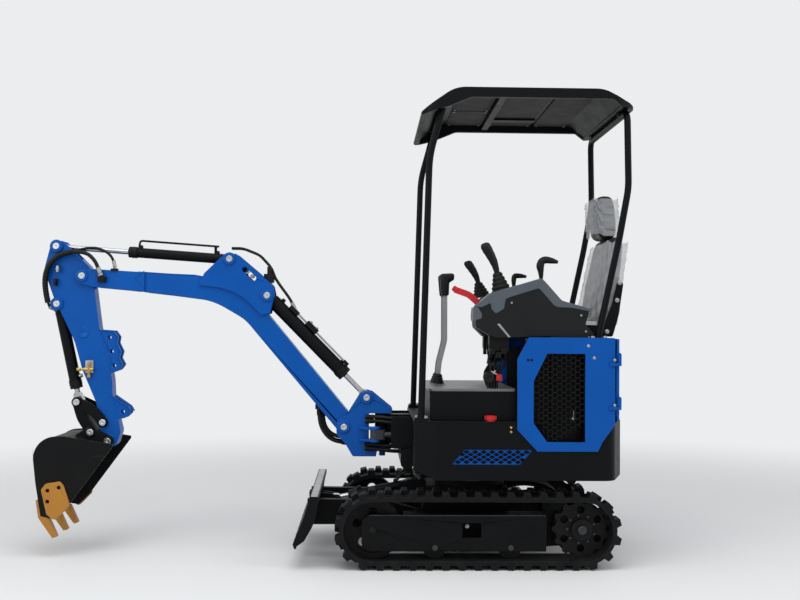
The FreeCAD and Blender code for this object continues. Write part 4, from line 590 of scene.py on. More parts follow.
@dataclass(frozen=True)
class Finish:
    """A finish of the machine, laid out as its maker would order it."""

    name: str
    colour: Colour
    roughness: float
    shade: float = 0.08
    metallic: float = 0.0
    coat: float = 0.0
    specular: float = 0.2
    grain_scale: float = 500.0
    grain_depth: float = 0.00005
    dust: float = 0.04
    ground_dust: float = 0.06
    dust_colour: Colour = (0.16, 0.15, 0.13)
    scratches: float = 0.0
    # Colour, amount and width of scratches and of edge marks. On the black finishes and the rubber the edge colour
    # is lighter than the paint, so the edge marks are a painted edge highlight as well as wear.
    wear_and_sheen_colour: Colour = (0.22, 0.22, 0.22)
    wear_and_edge_sheen: float = 0.0
    edge_wear_and_sheen_width: float = 0.004
    clear: float = 1.0

    def build(self, groups: dict[str, bpy.types.NodeTree]) -> bpy.types.Material:
        """Makes the material.

        Args:
            groups: The shared node groups by name.

        Returns:
            The new material.
        """
        material = bpy.data.materials.new(self.name)
        material.use_nodes = True
        tree = Tree(material.node_tree)

        def group(name: str, **values: float) -> bpy.types.NodeSocket:
            """Places a shared group with its own values and returns its output."""
            node = tree.add("ShaderNodeGroup", node_tree=groups[name])
            for key, value in values.items():
                node.inputs[key].default_value = value
            return node.outputs[0]

        darker = tuple(part * (1 - self.shade * 2) for part in self.colour)
        colour = tree.mix(group("mottle", Scale=5.0, Low=0.0, High=1.0), self.colour, darker)
        if self.scratches:
            wear_and_edge_sheen = group("scratches", Scale=70.0, Amount=self.scratches)
            colour = tree.mix(wear_and_edge_sheen, colour, self.wear_and_sheen_colour)
        # Edges get the lighter colour: partly wear, partly a painted highlight along the edges.
        if self.wear_and_edge_sheen:
            edge_wear_and_sheen_mask = group("edge_wear_and_sheen", Width=self.edge_wear_and_sheen_width, Amount=self.wear_and_edge_sheen, Scale=45.0)
            colour = tree.mix(edge_wear_and_sheen_mask, colour, self.wear_and_sheen_colour)
        dust = group("dust", Amount=self.dust, Scale=9.0, Ground=self.ground_dust)
        colour = tree.mix(dust, colour, self.dust_colour)
        rough = group("mottle", Scale=14.0, Low=self.roughness - 0.05, High=self.roughness + 0.07)
        rough = tree.math("MULTIPLY_ADD", dust, 0.4, rough, clamp=True)
        height = group("grain", Scale=self.grain_scale, Depth=self.grain_depth)
        bump = tree.add("ShaderNodeBump", {"Height": height, "Strength": 0.6, "Distance": 1.0})
        shader = tree.add("ShaderNodeBsdfPrincipled", {
            "Base Color": colour, "Roughness": rough, "Metallic": self.metallic,
            "Coat Weight": self.coat, "Coat Roughness": 0.12, "Specular IOR Level": self.specular,
            "Alpha": self.clear, "Normal": bump.outputs["Normal"]})
        tree.add("ShaderNodeOutputMaterial", {"Surface": shader.outputs[0]})
        return material


FINISHES = (
    Finish("blue_paint", (0.0006, 0.083, 0.38), 0.32, specular=0.12, coat=0.03, grain_scale=220,
           grain_depth=0.00006, dust=0.010, ground_dust=0.02),
    Finish("black_paint", (0.0026, 0.0031, 0.0039), 0.46, specular=0.10, grain_scale=420, dust=0.008,
           ground_dust=0.015),
    # The edge colours of frame_black, bucket_black, track_rubber and black_iron are lighter than their paint: a
    # painted edge highlight with some wear.
    Finish("frame_black", (0.0028, 0.0032, 0.0039), 0.50, specular=0.10, grain_scale=260, grain_depth=0.0001,
           dust=0.015, ground_dust=0.025, wear_and_edge_sheen=0.3, wear_and_sheen_colour=(0.06, 0.06, 0.06)),
    Finish("bucket_black", (0.0032, 0.0034, 0.004), 0.46, specular=0.12, dust=0.03, scratches=0.12,
           wear_and_sheen_colour=(0.09, 0.09, 0.09), wear_and_edge_sheen=0.5),
    Finish("yellow_paint", (0.45, 0.20, 0.03), 0.45, scratches=0.1, dust=0.06, wear_and_edge_sheen=0.5),
    Finish("red_paint", (0.52, 0.006, 0.010), 0.35, specular=0.35, coat=0.2, dust=0.02),
    Finish("track_rubber", (0.0042, 0.0046, 0.0056), 0.66, specular=0.12, grain_scale=300, grain_depth=0.0003,
           dust=0.04, ground_dust=0.06, wear_and_edge_sheen=0.7, edge_wear_and_sheen_width=0.007, wear_and_sheen_colour=(0.034, 0.036, 0.042)),
    Finish("black_iron", (0.0034, 0.0037, 0.0044), 0.5, specular=0.15, grain_scale=180, grain_depth=0.0002,
           dust=0.03, ground_dust=0.04, wear_and_edge_sheen=0.4, wear_and_sheen_colour=(0.09, 0.085, 0.08)),
    Finish("worn_edge", (0.045, 0.048, 0.054), 0.5, metallic=0.3, scratches=0.2),
    Finish("bare_steel", (0.38, 0.38, 0.39), 0.34, metallic=1.0, dust=0.04),
    Finish("pin_steel", (0.55, 0.55, 0.56), 0.30, metallic=1.0, dust=0.03, grain_scale=150,
           grain_depth=0.0001),
    Finish("rod_chrome", (0.42, 0.43, 0.45), 0.20, metallic=1.0, shade=0.02, dust=0.0, ground_dust=0.0),
    Finish("floor_aluminium", (0.17, 0.17, 0.175), 0.42, metallic=0.7, dust=0.06),
    Finish("brass", (0.50, 0.33, 0.12), 0.32, metallic=1.0, dust=0.03),
    Finish("grille_black", (0.0024, 0.0026, 0.0032), 0.45, specular=0.12),
    Finish("console_plastic", (0.006, 0.007, 0.0085), 0.5, specular=0.18, grain_scale=900,
           grain_depth=0.0001, dust=0.05),
    Finish("console_shell", (0.075, 0.088, 0.105), 0.42, specular=0.35, grain_scale=900,
           grain_depth=0.00008, dust=0.05),
    Finish("black_plastic", (0.0036, 0.0038, 0.0044), 0.42, specular=0.2, grain_scale=900,
           grain_depth=0.00006),
    Finish("boot_rubber", (0.0042, 0.0044, 0.005), 0.58, specular=0.18, grain_scale=700, grain_depth=0.0001),
    Finish("seat_vinyl", (0.009, 0.009, 0.010), 0.46, specular=0.3, grain_scale=700, grain_depth=0.0002),
    Finish("hose_rubber", (0.0036, 0.0038, 0.0044), 0.42, specular=0.2, grain_scale=600, grain_depth=0.00008),
    Finish("lining", (0.030, 0.027, 0.026), 0.7, specular=0.2, grain_scale=800, grain_depth=0.0002),
    Finish("lever_steel", (0.26, 0.27, 0.28), 0.4, metallic=0.6, dust=0.02),
    Finish("clear_film", (0.62, 0.64, 0.66), 0.22, specular=0.5, grain_scale=60, grain_depth=0.002,
           clear=0.42),
)


# Workshop


def mesh_of(name: str, surface: Surface, scale: float = MM) -> bpy.types.Mesh:
    """Puts points and faces into a new mesh.

    Args:
        name: Name of the mesh.
        surface: Points as an array of rows, and the faces' corners.
        scale: Length of the surface's unit in metres.

    Returns:
        The new mesh.
    """
    points, faces = surface
    mesh = bpy.data.meshes.new(name)
    mesh.from_pydata((points * scale).tolist(), [], faces)
    mesh.validate()
    return mesh


class Workshop:
    """Makes the pieces and keeps the finishes."""

    def __init__(self, frame: dict) -> None:
        """Builds the shared groups and every finish.
        """
        self.nodes = frame["nodes"]
        bodies = frame["record"]["behaviour"]["bodies"]
        self.body_of = {node: body for body, members in bodies.items() for node in members}
        self.slot_of = {part["node"]: part["material_slot"] for part in frame["record"]["subparts"]}
        groups = {"mottle": mottle_group(), "grain": grain_group(), "dust": dust_group(),
                  "scratches": scratch_group(), "edge_wear_and_sheen": edge_group()}
        self.finish = {item.name: item.build(groups) for item in FINISHES}
        self.softened: dict[str, bpy.types.Object] = {}

    def make(self, name: str, surface: Surface, finish: str, smooth_angle: float) -> bpy.types.Object:
        """Makes an object of a surface.

        Args:
            name: Name of the piece.
            surface: Its points and faces.
            finish: Name of its finish.
            smooth_angle: Edges sharper than this many degrees stay sharp.

        Returns:
            The new object.
        """
        mesh = mesh_of(name, surface)
        mesh.polygons.foreach_set("use_smooth", [True] * len(mesh.polygons))
        mesh.set_sharp_from_angle(angle=math.radians(smooth_angle))
        mesh.materials.append(self.finish[finish])
        made = bpy.data.objects.new(name, mesh)
        bpy.context.scene.collection.objects.link(made)
        return made

    def piece(self, name: str, surface: Surface, finish: str, body: str,
              smooth_angle: float = 35.0) -> bpy.types.Object:
        """Adds a piece that rides on a body.

        Args:
            name: Name of the piece.
            surface: Its points and faces.
            finish: Name of its finish.
            body: Body that carries it.
            smooth_angle: Edges sharper than this many degrees stay sharp.

        Returns:
            The new object.
        """
        made = self.make(name, surface, finish, smooth_angle)
        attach(made, body)
        LOG.info("made %s on %s", name, body)
        return made

    def between(self, name: str, surface: Surface, finish: str, bodies: tuple[str, str]) -> bpy.types.Object:
        """Adds a piece that runs between two joined bodies, fixed in place rather than carried by either.

        Args:
            name: Name of the piece.
            surface: Its points and faces.
            finish: Name of its finish.
            bodies: Body at the start and body at the end.

        Returns:
            The new object.
        """
        made = self.make(name, surface, finish, 35.0)
        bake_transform(made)
        LOG.info("made %s from %s to %s", name, *bodies)
        return made

    def dress(self, node: str, finish: str) -> None:
        """Gives a node of the frame its finish.

        Args:
            node: Name of the node.
            finish: Name of the finish.
        """
        data = self.nodes[node].data
        data.materials.clear()
        data.materials.append(self.finish[finish])

    def soften(self, node: str, finish: str, width: float, angle: float = 32.0) -> None:
        """Replaces a node by a merged copy of itself with rounded edges.

        Args:
            node: Name of the node.
            finish: Name of the finish.
            width: Width of the rounding in metres.
            angle: Edges sharper than this many degrees are rounded.
        """
        name = f"{node}_shell"
        mesh = self.nodes[node].data.copy()
        mesh.name = name
        work = bmesh.new()
        work.from_mesh(mesh)
        bmesh.ops.remove_doubles(work, verts=work.verts, dist=0.00002)
        work.to_mesh(mesh)
        work.free()
        mesh.polygons.foreach_set("use_smooth", [True] * len(mesh.polygons))
        mesh.set_sharp_from_angle(angle=math.radians(angle))
        mesh.materials.clear()
        mesh.materials.append(self.finish[finish])
        made = bpy.data.objects.new(name, mesh)
        bpy.context.scene.collection.objects.link(made)
        bevel = made.modifiers.new("rounding", "BEVEL")
        bevel.width = width
        bevel.segments = 2
        bevel.limit_method = "ANGLE"
        bevel.angle_limit = math.radians(angle)
        bevel.use_clamp_overlap = False
        bevel.harden_normals = False
        flatten = made.modifiers.new("flat", "WEIGHTED_NORMAL")
        flatten.keep_sharp = True
        flatten.weight = 100
        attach(made, self.body_of[node])
        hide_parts(node)
        self.softened[node] = made
        LOG.info("softened %s", node)


# Nodes that are replaced by copies with rounded edges. Columns: node, finish, width in mm.
SOFTENED = (
    ("boom", "blue_paint", 2.2), ("cylinder_bracket", "blue_paint", 1.6), ("arm", "blue_paint", 2.0),
    ("swing_post", "blue_paint", 1.8), ("side_panels", "blue_paint", 1.6), ("rear_door", "blue_paint", 2.0),
    ("body_skirt", "black_paint", 1.6), ("deck", "black_paint", 1.6), ("turntable", "black_paint", 1.6),
    ("floor_box", "black_paint", 2.4), ("engine_box", "black_paint", 2.0),
    ("canopy_roof", "black_paint", 1.6),
    ("blade", "frame_black", 1.4), ("chassis", "frame_black", 1.6), ("track_frames", "frame_black", 1.4),
    ("bucket", "bucket_black", 1.2), ("cutters_and_teeth", "yellow_paint", 1.2),
    ("rocker", "black_paint", 1.2),
    ("bucket_link", "black_paint", 1.2), ("consoles", "console_plastic", 3.0),
    ("control_valves", "black_iron", 0.8),
    ("floor_plate", "floor_aluminium", 1.2),
)

# Nodes that keep their own mesh.
DRESSED = {
    "track_left": "track_rubber", "track_right": "track_rubber", "slew_ring": "bare_steel",
    "idlers": "black_iron", "track_rollers": "black_iron", "sprockets": "black_iron",
    "travel_motors": "black_iron", "engine": "black_iron", "door_hinges": "blue_paint",
    "canopy_frame": "black_paint", "side_vents": "blue_paint", "tanks": "black_paint",
    "travel_levers": "lever_steel", "lock_lever": "red_paint", "arm_pipe": "black_paint",
    "boom_hoses": "hose_rubber", "boom_cylinder": "black_paint",
    "arm_cylinder": "black_paint", "bucket_cylinder": "black_paint", "blade_cylinder": "black_paint",
    "swing_cylinder": "black_paint", "boom_cylinder_rod": "rod_chrome", "arm_cylinder_rod": "rod_chrome",
    "bucket_cylinder_rod": "rod_chrome", "blade_cylinder_rod": "rod_chrome",
    "swing_cylinder_rod": "worn_edge",
}


# Sub-assemblies


@dataclass
class Pins:
    """Bright pin ends in collars, on both sides of each pin's carrier."""

    cap_radius: float = 15.5
    cap_depth: float = 3.0
    collar_height: float = 7.6
    head_height: float = 7.0
    # Columns: body, X, Z, outer face of the plate and radius of the collar.
    places: tuple[tuple[str, float, float, float, float], ...] = (
        ("boom", 1851, 1301, 58, 29), ("boom", 975, 1214, 58, 29), ("boom", 1155, 1387, 58, 29),
        ("arm", 1976, 1441, 45, 29), ("arm", 1970, 1167, 45, 29), ("swing_post", 603, 591, 66, 29),
        ("swing_post", 496, 731, 66, 29), ("rocker", 1744, 607, 55.3, 21.6),
        ("rocker", 1868, 702, 55.3, 21.6),
        ("bucket", 1719, 518, 57.3, 21.6), ("bucket", 1801, 561, 57.3, 21.6))

    def build(self, shop: Workshop) -> None:
        """Adds the caps and collars of each body."""
        for body, finish in (("boom", "blue_paint"), ("arm", "blue_paint"), ("swing_post", "blue_paint"),
                             ("rocker", "black_paint"), ("bucket", "bucket_black")):
            spots = [row[1:] for row in self.places if row[0] == body]
            caps = [both(self.cap(*spot[:3])) for spot in spots]
            shop.piece(f"pin_caps_{body}", join(*caps), "pin_steel", body)
            collars = [both(self.collar(*spot)) for spot in spots]
            shop.piece(f"pin_collars_{body}", join(*collars), finish, body)

    def cap(self, x: float, z: float, face: float) -> Surface:
        """Turned end of a pin with a chamfer and a small centre drilling."""
        top, edge = self.cap_depth, self.cap_radius
        steps = [(-1, edge), (top - 1.2, edge), (top, edge - 1.4), (top, 5), (top - 2, 2.4)]
        return turned(steps, (x, face + self.head_height, z), (0, 1, 0), 28)

    def collar(self, x: float, z: float, face: float, wide: float) -> Surface:
        """Painted ring round the pin's end, with a weld at its foot and a rounded rim."""
        top, hole = self.collar_height, self.cap_radius + 1.6
        foot = (wide - 20) * 0.28
        steps = [(-0.5, wide + foot), (1.6, wide + foot * 0.6), (2.4, wide),
                 (top - 1.6, wide), (top - 0.5, wide - 0.6),
                 (top, wide - 1.8), (top, hole), (top - 1.4, hole - 0.8)]
        return turned(steps, (x, face, z), (0, 1, 0), 36)


@dataclass
class Cylinder:
    """Fittings of one hydraulic cylinder, placed along its axis."""

    name: str
    base: Point
    eye: Point
    bore: float
    tube: float
    port_finish: str = "black_iron"

    def __post_init__(self) -> None:
        """Works out the cylinder's directions: along its axis, and square to it in its own plane."""
        line = np.subtract(self.eye, self.base)
        self.line = line / np.linalg.norm(line)
        self.out = np.cross(self.line, np.cross((0.0, 0.0, 1.0), self.line))
        self.out /= np.linalg.norm(self.out)
        if abs(self.line[2]) >= 0.02:
            self.out = np.array((self.line[2], 0.0, -self.line[0]))
            self.out *= math.copysign(1.0, self.out[2])

    def at(self, along: float, out: float = 0.0, side: float = 0.0) -> np.ndarray:
        """Point at a distance along the axis, square to it, and to the left."""
        return np.add(self.base, self.line * along + self.out * out + np.cross(self.out, self.line) * -side)

    def gland(self) -> Surface:
        """Screwed gland with a groove: rings a little prouder than the tube."""
        r, end = self.bore, self.tube
        steps = [(end - 33, r - 1), (end - 32, r + 1.4), (end - 12, r + 1.4), (end - 11, r - 0.4),
                 (end - 8, r - 0.4), (end - 7, r + 0.6), (end + 3, r + 0.6), (end + 5, r - 3),
                 (end + 5, 14.5),
                 (end + 8, 14.5), (end + 8, 13)]
        return turned(steps, tuple(self.base), tuple(self.line), 32)

    def seams(self) -> Surface:
        """Weld round the tube's base and round its gland end."""
        shells = []
        for along in (self.bore * 0.5 + 32.0, self.tube - 36.0):
            ring = circle(self.bore - 1.6, 40)
            side = np.cross(self.out, self.line)
            path = self.at(along) + ring[:, :1] * self.out + ring[:, 1:] * side
            shells.append(carried(path, circle(2.4, 8), level=tuple(self.line), closed=True))
        return join(*shells)

    def port(self, along: float, reach: float = 16.0) -> Surface:
        """Welded port with a hose's hexagon on it, standing square to the tube."""
        start = self.at(along, self.bore - 6)
        body = turned([(0, 11), (9, 11), (10, 9.5)], tuple(start), tuple(self.out), 20)
        nut = turned([(9, 10.5), (reach, 10.5), (reach + 1, 9.2)], tuple(start), tuple(self.out), 6)
        return join(body, nut)

    def build(self, shop: Workshop) -> None:
        """Adds the gland, the weld seams and the two ports."""
        body = f"{self.name}_barrel"
        shop.piece(f"{self.name}_gland", self.gland(), "black_iron", body)
        shop.piece(f"{self.name}_seams", self.seams(), "black_paint", body)
        shop.piece(f"{self.name}_ports", join(self.port(58.0 + self.bore * 0.3), self.port(self.tube - 50.0)),
                   self.port_finish, body)


CYLINDERS = (
    Cylinder("boom", (975, 0, 1214), (496, 0, 731), 35, 527),
    Cylinder("arm", (1155, 0, 1387), (1976, 0, 1441), 26, 483),
    Cylinder("bucket", (1970, 0, 1167), (1868, 0, 702), 29, 407, "bare_steel"),
    Cylinder("blade", (286, 0, 316), (664, 0, 242), 24, 292),
    Cylinder("swing", (-130, 150, 560), (455, 108, 560), 28, 440),
)


@dataclass(frozen=True)
class Hose:
    """A hose that goes from one body to another in a free loop."""

    name: str
    bodies: tuple[str, str]
    radius: float
    route: tuple[Point, ...]
    beside: Point = (0.0, 0.0, 0.0)
    fitting_start: bool = True
    fitting_end: bool = True
    fitting: str = "bare_steel"

    def build(self, shop: Workshop) -> None:
        """Adds each hose with its ferrules, running between its two bodies."""
        for number, shift in enumerate(((0.0, 0.0, 0.0), self.beside)):
            if number and not any(shift):
                continue
            line = smooth_line([tuple(np.add(point, shift)) for point in self.route])
            surface = carried(line, circle(self.radius, 16))
            shop.between(f"{self.name}_{number}", surface, "hose_rubber", self.bodies)
            if self.fitting_start:
                shop.piece(f"{self.name}_{number}_start", self.ferrule(line), self.fitting, self.bodies[0])
            if self.fitting_end:
                shop.piece(f"{self.name}_{number}_end", self.ferrule(line[::-1]),
                           self.fitting, self.bodies[1])

    def ferrule(self, line: np.ndarray) -> Surface:
        """Crimped sleeve and six-sided nut at the end of a hose."""
        along = line[1] - line[0]
        along /= np.linalg.norm(along)
        r = self.radius
        sleeve = turned([(-4, r + 1.2), (4, r + 2.6), (9, r + 1.6), (14, r + 2.6),
                         (19, r + 1.6), (24, r + 2.4),
                         (26, r + 0.4)], tuple(line[0]), tuple(along), 20)
        nut = turned([(-17, r * 0.9), (-16, r + 3), (-5, r + 3), (-4, r + 1)],
                     tuple(line[0]), tuple(along), 6)
        return join(sleeve, nut)


HOSES = (
    Hose("arm_loop_near", ("boom", "arm"), 9.0,
         ((1762, 76, 1316), (1772, 76, 1342), (1788, 76, 1376), (1830, 75, 1414), (1892, 74, 1413)),
         fitting_end=False),
    Hose("arm_loop_far", ("boom", "arm"), 6.5,
         ((1698, 52, 1349), (1704, 53, 1384), (1742, 55, 1422), (1816, 58, 1440), (1892, 64, 1414)),
         fitting_end=False),
    Hose("boom_drop", ("boom", "boom_barrel"), 6.5,
         ((941, 12, 1300), (916, 12, 1262), (888, 12, 1226), (862, 12, 1188), (848, 12, 1158)),
         beside=(0, -24, 0), fitting_start=False),
    Hose("foot_loop_outer", ("boom", "swing_post"), 9.5,
         ((724, 19, 668), (722, 19, 624), (710, 19, 580), (680, 19, 538), (636, 19, 516), (588, 19, 512)),
         beside=(0, -38, 0), fitting="black_iron"),
    Hose("foot_loop_inner", ("boom", "swing_post"), 9.5,
         ((706, 0, 662), (704, 0, 622), (694, 0, 586), (670, 0, 556), (636, 0, 540), (588, 0, 534)),
         fitting="black_iron"),
    Hose("bucket_feed", ("arm", "bucket_barrel"), 6.5,
         ((2010, 50, 1176), (2006, 49, 1160), (2000, 44, 1148), (1988, 30, 1142)), fitting_start=False),
    Hose("post_feed", ("swing_post", "house"), 9.0,
         ((486, 74, 640), (440, 80, 642), (385, 82, 634), (330, 80, 628), (280, 76, 628)),
         beside=(0, 2, -20), fitting="black_iron"),
    Hose("post_return", ("swing_post", "house"), 9.0,
         ((486, 76, 512), (440, 88, 510), (392, 92, 504), (340, 84, 500), (280, 76, 502)),
         beside=(0, 2, -21), fitting="black_iron"),
    Hose("blade_feed", ("undercarriage", "blade_barrel"), 5.5,
         ((250, 44, 356), (268, 44, 372), (300, 42, 378), (332, 36, 362), (346, 14, 334)),
         beside=(0, -88, 0), fitting_end=False),
)


@dataclass
class BoomTrim:
    """Welds, clamps and hard pipes on the boom and its cylinder."""

    half: float = 46.0
    plate_face: float = 58.0
    pipe: float = 5.0

    def build(self, shop: Workshop) -> None:
        """Adds the boom's small pieces."""
        y = self.half + 0.6
        fork = [(1556, self.plate_face, 1325), (1600, self.plate_face, 1297), (1557, self.plate_face, 1240)]
        bracket = [(944, y, 1206), (961, y, 1131), (999, y, 1121), (1060, y, 1180), (1122, y, 1238),
                   (1200, y, 1252), (1300, y, 1263)]
        shop.piece("boom_seams", both(join(bead(fork), bead(bracket))), "blue_paint", "boom")
        top = [(x, 0, z + 1) for x, z in ((1250, 1296), (1320, 1308), (1430, 1312), (1550, 1319))]
        ribs = [bead([(x, side * (self.half - 1), z) for x, _, z in top], 2.0) for side in BOTH_SIDES]
        shop.piece("boom_top_seams", join(*ribs), "blue_paint", "boom")
        shop.piece("boom_blocks", join(
            box((1734, 1772), (58, 84), (1270, 1298), 3), box((1682, 1714), (36, 68), (1324, 1336), 2),
            box((948, 992), (-44, 44), (1278, 1318), 3),
            turned([(-30, 11), (-29, 12), (29, 12), (30, 11)], (1082, 0, 1337), (0, 1, 0), 24)),
            "black_iron", "boom")
        shop.piece("boom_slot_fitting", turned([(-24, 9), (-23, 10), (23, 10), (24, 9)], (1050, 0, 1307),
                                               (0, 1, 0), 6), "bare_steel", "boom")
        shop.piece("foot_block", join(box((694, 742), (-30, 30), (672, 696), 3)), "black_iron", "boom")
        self.cylinder_pipe(shop, CYLINDERS[0])

    def cylinder_pipe(self, shop: Workshop, cylinder: Cylinder) -> None:
        """Hard pipe along the boom cylinder with its clamp block and end fittings."""
        side = 12.0
        route = [cylinder.at(*step, side) for step in ((150, 36), (150, 43), (185, 43), (300, 43), (440, 43),
                                                       (486, 43), (492, 36), (492, 28))]
        line = smooth_line([tuple(point) for point in route], 6.0)
        shop.piece("boom_cylinder_pipe", carried(line, circle(self.pipe, 14)), "bare_steel", "boom_barrel")
        corners = [cylinder.at(*pair)[[0, 2]] for pair in ((222, 33), (222, 58), (292, 58), (292, 33))]
        shell = plate(outline([(*corner, 5) for corner in corners]), -24, 24, edge=2)
        corners = [cylinder.at(*pair)[[0, 2]] for pair in ((112, 32), (112, 52), (168, 52), (168, 32))]
        shell = join(shell, plate(outline([(*corner, 4) for corner in corners]), -24, 24, edge=2))
        corners = [cylinder.at(*pair)[[0, 2]] for pair in ((478, 33), (478, 50), (508, 50), (508, 33))]
        shell = join(shell, plate(outline([(*corner, 3) for corner in corners]), -14, 22, edge=2))
        shop.piece("boom_cylinder_blocks", shell, "black_iron", "boom_barrel")
        heads = [bolt(tuple(cylinder.at(along, 58, y)), tuple(cylinder.out), 7, 5)
                 for along in (238, 276) for y in (-12, 12)]
        shop.piece("boom_cylinder_bolts", join(*heads), "bare_steel", "boom_barrel")


@dataclass
class ArmTrim:
    """Clamps, bosses, valve and welds on the arm."""

    face: float = 40.0

    def build(self, shop: Workshop) -> None:
        """Adds the arm's small pieces."""
        y = self.face
        boss = turned([(-1, 27), (1.5, 27), (4, 24), (4, 10), (2, 7)], (1845, y, 1031), (0, 1, 0), 32)
        shop.piece("arm_bosses", both(boss), "blue_paint", "arm")
        shop.piece("arm_clamp_light", self.clamp((1961, 58, 1332), 30), "bare_steel", "arm")
        shop.piece("arm_clamp_dark", self.clamp((1974, 56, 1269), 34), "black_iron", "arm")
        made = shop.piece("arm_sleeve", self.sleeve(), "hose_rubber", "arm")
        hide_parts("arm_hoses")
        upright = turned([(-39, 6), (-38, 8.5), (-22, 8.5), (-20, 6), (-12, 6), (-11, 10), (11, 10), (12, 6),
                          (18, 6), (20, 8.5), (32, 8.5), (33, 6)], (1812, 54, 857), (0, 0, 1), 6)
        level = turned([(-22, 6), (-21, 8.5), (-10, 8.5), (10, 9.5), (24, 9.5), (25, 6.5), (38, 6.5), (39, 9),
                        (56, 9), (58, 6)], (1812, 54, 857), (1, 0, 0), 6)
        shop.piece("arm_valve", join(upright, level), "brass", "arm")
        shop.piece("arm_valve_base", box((1792, 1832), (36, 48), (840, 900), 3), "bare_steel", "arm")
        seams = [bead([(x, side * (y + 0.4), z) for x, z in row], 2.2) for side in BOTH_SIDES for row in (
            ((1776, 1044), (1703, 1039), (1684, 1012), (1688, 983), (1668, 942), (1676, 911), (1658, 878)),
            ((1712, 737), (1628, 680), (1613, 655)))]
        shop.piece("arm_seams", join(*seams), "blue_paint", "arm")

    def sleeve(self) -> Surface:
        """Woven guard round both hoses: an oval whose size ripples with the sine of its length."""
        line = smooth_line(((1892, 68, 1414), (1944, 68, 1405), (1995, 67, 1366), (2021, 62, 1310),
                            (2024, 55, 1236), (2010, 50, 1172)), 4.0)
        ripple = 1 + 0.035 * np.sin(np.arange(len(line)) * 1.9)
        return carried(line, circle(1.0, 24) * (16.5, 13.0), ripple)

    def clamp(self, place: Point, width: float) -> Surface:
        """Two-hose clamp: a bent strap over a block with its bolt."""
        x, y, z = place
        strap = box((x - 6, x + 6), (self.face, y + 18), (z - width / 2, z + width / 2), 2.5)
        return join(strap, bolt((x, y + 18, z), (0, 1, 0), 6, 5))


